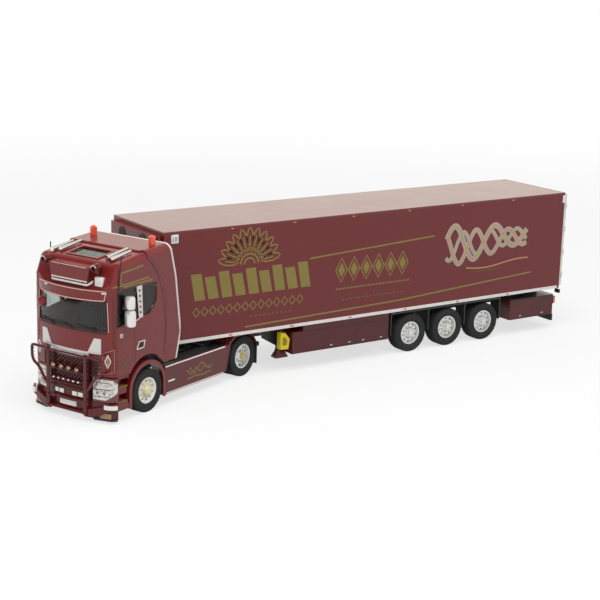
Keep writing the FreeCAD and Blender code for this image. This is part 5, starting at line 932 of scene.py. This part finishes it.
# Lamps of the bull bar: four round spots with dished reflectors, a row of small ones, and oblong fog lamps.
# The round ones sit on the tubes and in the loops, and the corner lamps sit in the wing plates.
bowl = [(0.0, -0.1), (0.28, -0.06), (0.34, 0.2), (0.45, -0.02), (0.9, 0.25), (1.12, 0.62), (1.3, 0.72),
        (1.42, 0.55), (1.42, -0.2), (1.1, -0.75), (0.5, -1.0), (0.0, -1.05)]
bulb = [(0.0, 0.62), (0.3, 0.58), (0.55, 0.35), (0.6, 0.1), (0.0, 0.05)]
rim = [(1.2, 0.68), (1.32, 0.8), (1.48, 0.7), (1.5, 0.3), (1.4, 0.25)]
spot_ys, spot_x, spot_z = (7.3, 2.3, -2.3, -7.3), bar_x + 0.5, 24.1
reflector = finish("reflector", (0.30, 0.22, 0.14), 0.12, metal=0.95, coat=0.6, change=0.4,
                   grain=1400.0, relief=0.00001)
# The spots' pale bulbs are set off-centre, up and towards the left side, so each is both a bulb and a painted
# highlight on its reflector.
bulb_with_painted_highlight = finish("bulb_with_painted_highlight", (0.80, 0.66, 0.42), 0.15, coat=1.0, change=0.2)
piece("bull_bar_spots", [spun(bowl, (spot_x, y, spot_z), (1, 0, 0), 28) for y in spot_ys], reflector,
      replaces=["spot_lamps"])
piece("bull_bar_spot_bulbs", [spun(bulb, (spot_x, y + 0.25, spot_z + 0.15), (1, 0, 0), 16) for y in spot_ys],
      bulb_with_painted_highlight)
piece("bull_bar_spot_rims", [spun(rim, (spot_x, y, spot_z), (1, 0, 0), 28, wrap=True) for y in spot_ys],
      deep_wine)
small_lamp = [(0.0, 0.7), (0.25, 0.66), (0.42, 0.45), (0.5, 0.1), (0.35, -0.2), (0.0, -0.25)]
row = [spun(small_lamp, (bar_x + 0.3, y, 18.2), (1, 0, 0), 16) for y in (-7.6, -4.6, -1.6, 1.6, 4.6, 7.6)]
loop_lamps = [spun([(radius * 0.8, height) for radius, height in small_lamp], (bar_x - 0.5, side * y, z),
                   (0.35, -side, 0), 14)
              for side in (1, -1) for y, z in ((21.1, 29.4), (21.0, 27.7), (20.9, 26.0), (20.3, 24.5))]
piece("bull_bar_small_lamps", row + loop_lamps, marker_white)
fogs, fog_frames = [], []
for side in (1, -1):
    fogs += [nose_plate(10.9, 12.9, side * 2.6, side * 8.6, 0.75, 0.6),
             nose_plate(7.3, 9.3, side * 20.4, side * 24.3, 2.75, 0.7)]
    fog_frames += [nose_plate(10.5, 13.3, side * 2.1, side * 9.1, 0.45, 1.0),
                   nose_plate(10.8, 13.0, side * 5.5, side * 5.8, 0.9, 0.6, 2)]
piece("fog_lamps", fogs, lamp_clear)
piece("fog_lamp_frames", fog_frames, deep_wine)
piece("corner_lips", [nose_plate(1.2, 2.3, side * 14.5, side * 24.5, 1.0, 1.0) for side in (1, -1)],
      black_casting)

# Headlamp details and steps: dark lines between the lamp's bands, projectors with chrome rings, gold treads.
# The lamp's details lie on its clear face, and the treads are pressed plates on the steps.
lamp_line_dark = finish("lamp_line_dark", (0.09, 0.05, 0.045), 0.3, change=0.3)
projector_dark = finish("projector_dark", (0.22, 0.19, 0.18), 0.08, coat=1.0, change=0.3)
step_gold = finish("step_gold", (0.42, 0.30, 0.075), 0.4, metal=0.5, change=0.3, grain=3000.0)
lamp_lines = [strip(on_front(["headlamps"], [(14.2, z), (22.6, z + 0.2)]), wide, 0.04)
              for z, wide in ((18.9, 0.28), (15.7, 0.42), (12.3, 0.28))]
lamp_places = [on_front(["headlamps"], [(y, 14.1)])[0] for y in (16.0, 19.4)]
ring = [(0.85, 0.0), (0.9, 0.28), (1.08, 0.3), (1.2, 0.0), (1.0, -0.1)]
dome = [(0.0, 0.2), (0.5, 0.14), (0.82, -0.02), (0.82, -0.15), (0.0, -0.15)]
piece("headlamp_lines", lamp_lines, lamp_line_dark, pair=True)
piece("headlamp_rings", [spun(ring, centre, out, 22, wrap=True) for centre, out in lamp_places], chrome,
      pair=True)
piece("headlamp_projectors", [spun(dome, centre, out, 18) for centre, out in lamp_places], projector_dark,
      pair=True)
piece("step_treads", [bar((83.0, 20.8, z), (90.0, 24.4, z + 0.25), 0.08) for z in (5.6, 9.35, 16.45)],
      step_gold, pair=True)

# Side skirts: two pale lines along each long panel, a thin gold scroll between them, and a small grab.
# The panel is one moulding, and the lines are printed.
skirt_ends = [[(9.2, 19.2), (56.2, 19.2)], [(10.4, 6.0), (56.2, 6.0)]]
piece("skirt_lines", both_sides(["side_skirts"], skirt_ends, 0.6), cream_paint)
scroll = [[(x, 13.4 + 1.9 * math.sin((x - 26) * 0.62) - (x - 30) * 0.06)
           for x in [22 + 0.5 * k for k in range(33)]],
          [(x, 12.4 + 1.2 * math.sin((x - 24) * 0.9)) for x in [20 + 0.5 * k for k in range(41)]],
          [(20.5, 9.6), (27.0, 9.0), (33.0, 9.8), (39.5, 9.2)]]
scroll_gold = ink("scroll_gold", (0.21, 0.135, 0.040), 0.35, 0.42, 0.2)
piece("skirt_flourish", both_sides(["side_skirts"], scroll, 0.75), scroll_gold)
piece("skirt_grabs", [bar((49.5, 24.5, 11.3), (54.5, 25.3, 12.1), 0.2)], cream_paint, pair=True)

# Trailer side: long gold lines, a generic gold design of fan, slabs and lozenges, and crossing pale waves.
# The prints lie on the flat panels, both sides carry the same, and small lamps are set along the edges.
wall_y = 25.8


def wall_line(points, width, lift=0.05, closed=False):
    return side_line(wall_y, points, width, lift, closed)


gold_shapes = [wall_line([(-86, 59.2), (-168, 63.6)], 0.8),
               wall_line([(-47, 27.8), (-146, 30.3), (-240.6, 35.9)], 0.8)]
for first, tall, count in ((-17.5, 13.4, 5), (-25.4, 11.4, 4)):
    slab = side_patch(wall_y, [(first, 44.6), (first - 6.0, 44.6), (first - 3.6, 44.6 + tall),
                               (first + 2.4, 44.6 + tall)])
    gold_shapes.append(repeated([slab], count, step=(-15.8, 0, 0)))
fan_x, fan_z, lean = -49.0, 60.2, math.radians(170)
u, v = Vector((math.cos(lean), math.sin(lean))), Vector((-math.sin(lean), math.cos(lean)))
petal = [u * a + v * b for a, b in ((6.4, 0.0), (9.5, 1.5), (14.0, 1.9), (17.2, 1.1), (18.6, 0.0),
                                    (17.2, -1.1), (14.0, -1.9), (9.5, -1.5))]
petal_shapes = [wall_line(petal, 0.75, closed=True), wall_line([u * 8.5, u * 14.5], 0.6)]
gold_shapes += moved([repeated(petal_shapes, 11, turn_by=math.radians(16))], fan_x, 0, fan_z)
for radius in (5.2, 3.0):
    gold_shapes.append(wall_line([(fan_x + radius * math.cos(t), fan_z + radius * math.sin(t))
                                  for t in (math.radians(10 * k) for k in range(19))], 0.8))
lozenge = wall_line([(-16.5, 38.6), (-18.4, 40.9), (-20.3, 38.6), (-18.4, 36.3)], 0.65, closed=True)
gold_shapes.append(repeated([lozenge], 14, step=(-4.75, 0, 0)))
diamond_x, diamond_z = -106.2, 51.0
outline = [(-102.5, 51.0), (-106.2, 57.4), (-109.9, 51.0), (-106.2, 44.6)]
filling = [(diamond_x + (x - diamond_x) * 0.62, diamond_z + (z - diamond_z) * 0.62) for x, z in outline]
diamonds = [wall_line(outline, 0.8, closed=True), side_patch(wall_y, filling)]
gold_shapes.append(repeated(diamonds, 6, step=(-8.1, 0, 0)))
gold_shapes.append(repeated([wall_line([(-103, 41.0), (-104.1, 41.0)], 0.9)], 26, step=(-1.9, 0, 0)))
piece("trailer_gold_design", gold_shapes, gold_print, "trailer", pair=True)
dashes = [repeated([wall_line([(x, z), (x - 1.6, z)], 0.9)], count, step=(-2.6, 0, 0))
          for x, z, count in ((-50, 32.9, 10), (-107, 35.0, 16), (-198, 40.6, 8))]
piece("trailer_small_gold", dashes, dark_gold, "trailer", pair=True)


def wave(middle, tall, cycles, start):
    """One strand of the generic wave design, which rises and grows lower to the rear."""
    x0, x1, count = -177.0, -236.0, 60
    return [(x0 + (x1 - x0) * i / count,
             middle + 3.0 * i / count + tall * math.sin(2 * math.pi * cycles * i / count + start)
             * (0.75 + 0.25 * math.cos(math.pi * i / count))) for i in range(count + 1)]


strands = [wave(56.5, 11.0, 2.0, 0.4), wave(55.0, 9.6, 2.5, 2.2), wave(56.0, 7.6, 3.0, 4.0)]
halo = [wall_line(points, 3.4 - 0.5 * k, 0.03 + 0.012 * k) for k, points in enumerate(strands)]
green = [wall_line(points, 1.5 - 0.2 * k, 0.075 + 0.012 * k) for k, points in enumerate(strands)]
orange = [wall_line(points, 0.5, 0.12 + 0.012 * k) for k, points in enumerate(strands[:2])]
low_wave = [(x, 43.6 + 1.4 * math.sin((x + 190) * 0.11)) for x in range(-192, -239, -2)]
orange.append(wall_line(low_wave, 0.7, 0.12))
for name, shapes, used in (
    ("trailer_wave_halo", halo, ink("lilac_print", (0.50, 0.36, 0.38), 0.3)),
    ("trailer_wave_green", green, ink("wave_green", (0.40, 0.44, 0.20), 0.5, grain=900.0)),
    ("trailer_wave_orange", orange, ink("wave_orange", (0.60, 0.26, 0.12), 0.3)),
):
    piece(name, shapes, used, "trailer", pair=True)
marker_orange = finish("marker_orange", (0.75, 0.16, 0.03), 0.25, coat=1.0, change=0.15)
marker_lamps = repeated([bar((-0.9, 25.7, 78.7), (0.9, 26.1, 79.3), 0.12),
                         bar((-0.9, 25.8, 24.35), (0.9, 26.15, 25.2), 0.12)], 6, step=(-37.1, 0, 0))
piece("trailer_marker_lamps", moved([marker_lamps], -38.6, 0, 0), marker_orange, "trailer", pair=True)
piece("front_corner_lamps", [bar((-7.9, 25.6, 74.5), (-3.8, 26.5, 78.9), 0.3)], marker_white, "trailer",
      pair=True)
cool_glass = finish("cool_glass", (0.30, 0.40, 0.58), 0.2, coat=1.0, change=0.3)
for name, x0, x1, used in (("glasses", -7.0, -5.5, cool_glass), ("marks", -4.9, -4.4, marker_orange)):
    outline = [(x0, 75.3), (x0, 78.0), (x1, 78.0), (x1, 75.3)]
    piece("front_corner_" + name, [side_patch(26.5, outline, 0.06)], used, "trailer", pair=True)

# Under the trailer: landing legs' casings, flared feet and gussets, yellow wheel chocks in holders,
# and the lockers' lid gaps and catches. The lockers are plain pressed boxes hung under the frame.
chock_outline = [(-75.6, 17.4), (-72.8, 20.8), (-69.9, 21.0), (-70.0, 12.3), (-74.9, 12.0)]
chock_x, chock_z = -72.4, 16.4
hollow_outline = [(chock_x + (x - chock_x) * 0.5, chock_z + (z - chock_z) * 0.5) for x, z in chock_outline]
chock_yellow = finish("chock_yellow", (0.80, 0.64, 0.02), 0.5, change=0.15)
chock_shade = finish("chock_shade", (0.30, 0.22, 0.01), 0.6, change=0.3)
leg_x, leg_y = -73.4, 18.4
foot_levels = ((7.3, 3.6, 2.1), (8.1, 3.3, 1.9), (10.0, 2.2, 1.5), (11.6, 1.9, 1.35))
foot = skin([[(leg_x + sx * half_x, leg_y + sy * half_y, z) for sx, sy in quarters]
             for z, half_x, half_y in foot_levels])
gusset_outline = [(-62.5, 22.8), (-62.5, 18.0), (-71.2, 12.9), (-72.0, 12.9), (-72.0, 22.8)]


def side_plate(outline, y0, y1):
    return skin([[(x, y, z) for x, z in outline] for y in (y0, y1)])


piece("chocks", [side_plate(chock_outline, 21.05, 24.4)], chock_yellow, "trailer", pair=True)
piece("chock_hollows", [side_plate(hollow_outline, 24.3, 24.45)], chock_shade, "trailer", pair=True)
piece("leg_casings", [bar((-75.4, 16.9, 9.0), (-71.4, 19.75, 20.4), 0.4), foot], deep_wine, "trailer",
      pair=True)
piece("leg_gussets", [side_plate(gusset_outline, 17.4, 18.1)], black_casting, "trailer", pair=True)
gap_paths = [[(x, 23.3), (x, 10.0)] for x in (-97.0, -118.0)]
gap_paths += [[(-84.0, z), (-138.4, z)] for z in (10.1, 20.4)]
locker_gaps = [wall_line(points, 0.22, 0.02) for points in gap_paths]
rear_lid = [(-228.4, 20.0), (-258.9, 20.0), (-258.9, 9.4), (-228.4, 9.4)]
piece("locker_gaps", locker_gaps + [wall_line(rear_lid, 0.22, 0.02, closed=True)], gap_black, "trailer",
      pair=True)
catches = [bar((x - 0.9, 25.7, z - 0.35), (x + 0.9, 26.05, z + 0.35), 0.12)
           for x, z in ((-101, 11.2), (-113, 11.2), (-122, 11.2), (-134, 11.2), (-235, 10.6), (-252, 10.6))]
piece("locker_catches", catches, bare_steel, "trailer", pair=True)

# Cooling unit on the front wall: a moulded cover with a service panel, slats, latches and two fan grilles.
# The cover is plain, and the slats are pressed sheet.
cover_x = 7.6


def cover_line(points, wide, closed):
    return strip([(Vector((cover_x, y, z)), Vector((1, 0, 0))) for y, z in points], wide, 0.03, closed=closed)


panel = [(-18.6, 39.6), (18.6, 39.6), (18.6, 51.2), (-18.6, 51.2)]
piece("unit_panel_gaps", [cover_line(panel, 0.3, True), cover_line([(0, 39.6), (0, 51.2)], 0.25, False)],
      gap_black, "trailer")
piece("unit_slats", [repeated([bar((7.5, y - 6.2, 41.4), (7.85, y + 6.2, 41.9), 0.1)], 7, step=(0, 0, 1.2))
                     for y in (-9.2, 9.2)], black_casting, "trailer")
piece("unit_latches", [bar((7.5, y - 0.5, z - 0.9), (8.0, y + 0.5, z + 0.9), 0.12)
                       for y in (-17.4, 17.4) for z in (42.5, 48.5)], bare_steel, "trailer")
fans, fan_height, cross_reach, cross_half = [], 74.2, 3.3, 0.15
for y in (-10.5, 10.5):
    centre = (3.2, y, fan_height)
    for inner, outer in ((3.18, 3.52), (2.28, 2.62), (1.38, 1.72)):
        fan_ring = [(inner, -0.1), (inner, 0.22), (outer, 0.22), (outer, -0.1)]
        fans.append(spun(fan_ring, centre, (1, 0, 0), 30, wrap=True))
    fans.append(spun([(0.0, 0.4), (0.6, 0.35), (0.8, 0.1), (0.8, -0.1), (0.0, -0.1)], centre, (1, 0, 0), 18))
    fans += [bar((3.1, y - wide, fan_height - tall), (3.38, y + wide, fan_height + tall), 0.06)
             for wide, tall in ((cross_half, cross_reach), (cross_reach, cross_half))]
piece("unit_fan_grilles", fans, black_casting, "trailer")
piece("unit_display", [bar((7.5, -4.0, 53.6), (7.9, 4.0, 55.4), 0.15)], seal_rubber, "trailer")

# Behind the cab: a ribbed walking plate on the frame, two air tanks in straps beside each rail,
# and the coupling sockets on the cab's back wall. The real ones are sheet and turned steel.
walk_ribs = repeated([bar((22.6, -12.4, 19.95), (23.0, 12.4, 20.2), 0.08)], 21, step=(1.42, 0, 0))
piece("deck_ribs", [walk_ribs], bare_steel)
tanks, straps, tank_length = [], [], 16.0
band = [(2.2, -0.5), (2.4, -0.5), (2.4, 0.5), (2.2, 0.5)]
end = [(0.0, 0.0), (1.1, 0.12), (1.9, 0.6), (2.25, 1.5)]
tank = end + [(radius, tank_length - height) for radius, height in reversed(end)]
for x0 in (14.0, 33.0):
    tanks.append(spun(tank, (x0, 11.6, 15.4), (1, 0, 0), 24))
    for x in (x0 + 3.6, x0 + tank_length - 3.6):
        straps += [spun(band, (x, 11.6, 15.4), (1, 0, 0), 24, wrap=True),
                   bar((x - 0.5, 8.8, 14.6), (x + 0.5, 9.8, 18.6), 0.12)]
piece("air_tanks", tanks, bare_steel, pair=True)
piece("air_tank_straps", straps, black_casting, pair=True)
socket = [(0.0, 1.1), (0.35, 1.1), (0.6, 0.7), (0.75, 0.2), (0.75, -0.3), (0.0, -0.3)]
piece("coupling_sockets", [spun(socket, (55.9, y, 34.0), (-1, 0, 0), 16) for y in (-6, -2, 2, 6)],
      marker_orange)
piece("coupling_plate_cover", [bar((55.3, -8.0, 32.6), (56.1, 8.0, 35.4), 0.15)], black_casting)

# Rear: three-field lenses, door hinges, lock-rod handles and keepers, rubber buffers and marker blocks.
# The frame's side is painted like the walls, and the plate stays blank.
def trailer_millimetres(tree, position):
    return vectors(tree, "MULTIPLY", vectors(tree, "SUBTRACT", position, tuple(front_wall)),
                   (1000, 1000, 1000))


def rear_edge(tree, position):
    """1 on the pale rear edge of the frame, at the trailer's sides."""
    return maths(tree, "LESS_THAN", parts_of(tree, trailer_millimetres(tree, position))[0], -264.3)


seam_dark, lens_orange = (0.03, 0.02, 0.02), (0.70, 0.22, 0.03)
for name, cad_node, millimetres, inner, middle, outer in (
    ("tail_lens", "tail_lamps", tractor_millimetres, 17.6, 19.4, 22.3),
    ("trailer_lens", "trailer_lamps", trailer_millimetres, 16.5, 18.8, 22.0),
):
    lens_masks = [(between(inner, middle, millimetres), rear_white),
                  (between(outer, 40.0, millimetres), lens_orange)]
    lens_masks += [(between(edge - 0.12, edge + 0.12, millimetres), seam_dark) for edge in (middle, outer)]
    wears(finish(name, (0.50, 0.018, 0.015), 0.2, coat=1.0, change=0.2, masks=lens_masks),
          cad_node)
wears(gloss("frame_paint", (0.150, 0.0125, 0.0135), masks=[(rear_edge, rear_white)]), "rear_frame")
wears(gloss("door_paint", wine, masks=[(between(24.7, 40.0, trailer_millimetres), rear_white)]),
      "rear_door_left", "rear_door_right")
door_low, door_high = (corner[2] * 1000 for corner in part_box("rear_door_left"))
hinge_levels = [door_low + (door_high - door_low) * (k + 0.5) / 4 for k in range(4)]
leaf_x, hinge_x, hinge_y = -265.9, -265.375, 26.3
hinge_pin = [(0.0, 1.6), (0.2, 1.55), (0.28, 1.4), (0.28, -1.4), (0.2, -1.55), (0.0, -1.6)]
for side, sign in side_signs:
    body = "door_" + side
    hinge = [bar((-266.3, sign * 22.0, -0.9), (leaf_x, sign * 24.7, 0.9), 0.12),
             spun(hinge_pin, (hinge_x, sign * hinge_y, 0), (0, 0, 1), 12)]
    keepers = [bar((-267.0, sign * y - 0.9, z - 0.5), (leaf_x, sign * y + 0.9, z + 0.5), 0.15)
               for y in (9.3, 18.6) for z in (27.4, 36.0, 50.0, 66.0, 77.4)]
    handles = [bar((-266.3, sign * y - 0.7, 39.0), (leaf_x, sign * y + 0.7, 42.6), 0.15)
               for y in (13.5, 22.8)]
    piece("door_hinges_" + side, [shape for z in hinge_levels for shape in moved(hinge, 0, 0, z)],
          white_paint, body)
    piece("door_rod_keepers_" + side, keepers, black_casting, body)
    piece("door_handles_" + side, handles, bare_steel, body)
    piece("door_seals_" + side, [bar((-266.15, sign * 0.15, 26.4), (leaf_x, sign * 0.75, 79.2), 0.1)],
          seal_rubber, body)
piece("rear_buffers", [bar((-266.0, 22.0, 20.6), (-264.6, 25.8, 22.9), 0.3)], seal_rubber, "trailer",
      pair=True)
piece("rear_plate_blank", [bar((-262.45, -5.2, 14.9), (-262.0, 5.2, 18.5), 0.15)], white_paint, "trailer")
piece("rear_marker_blocks", [bar((-264.2, 25.6, 74.4), (-262.7, 26.2, 78.9), 0.2)], marker_white, "trailer",
      pair=True)
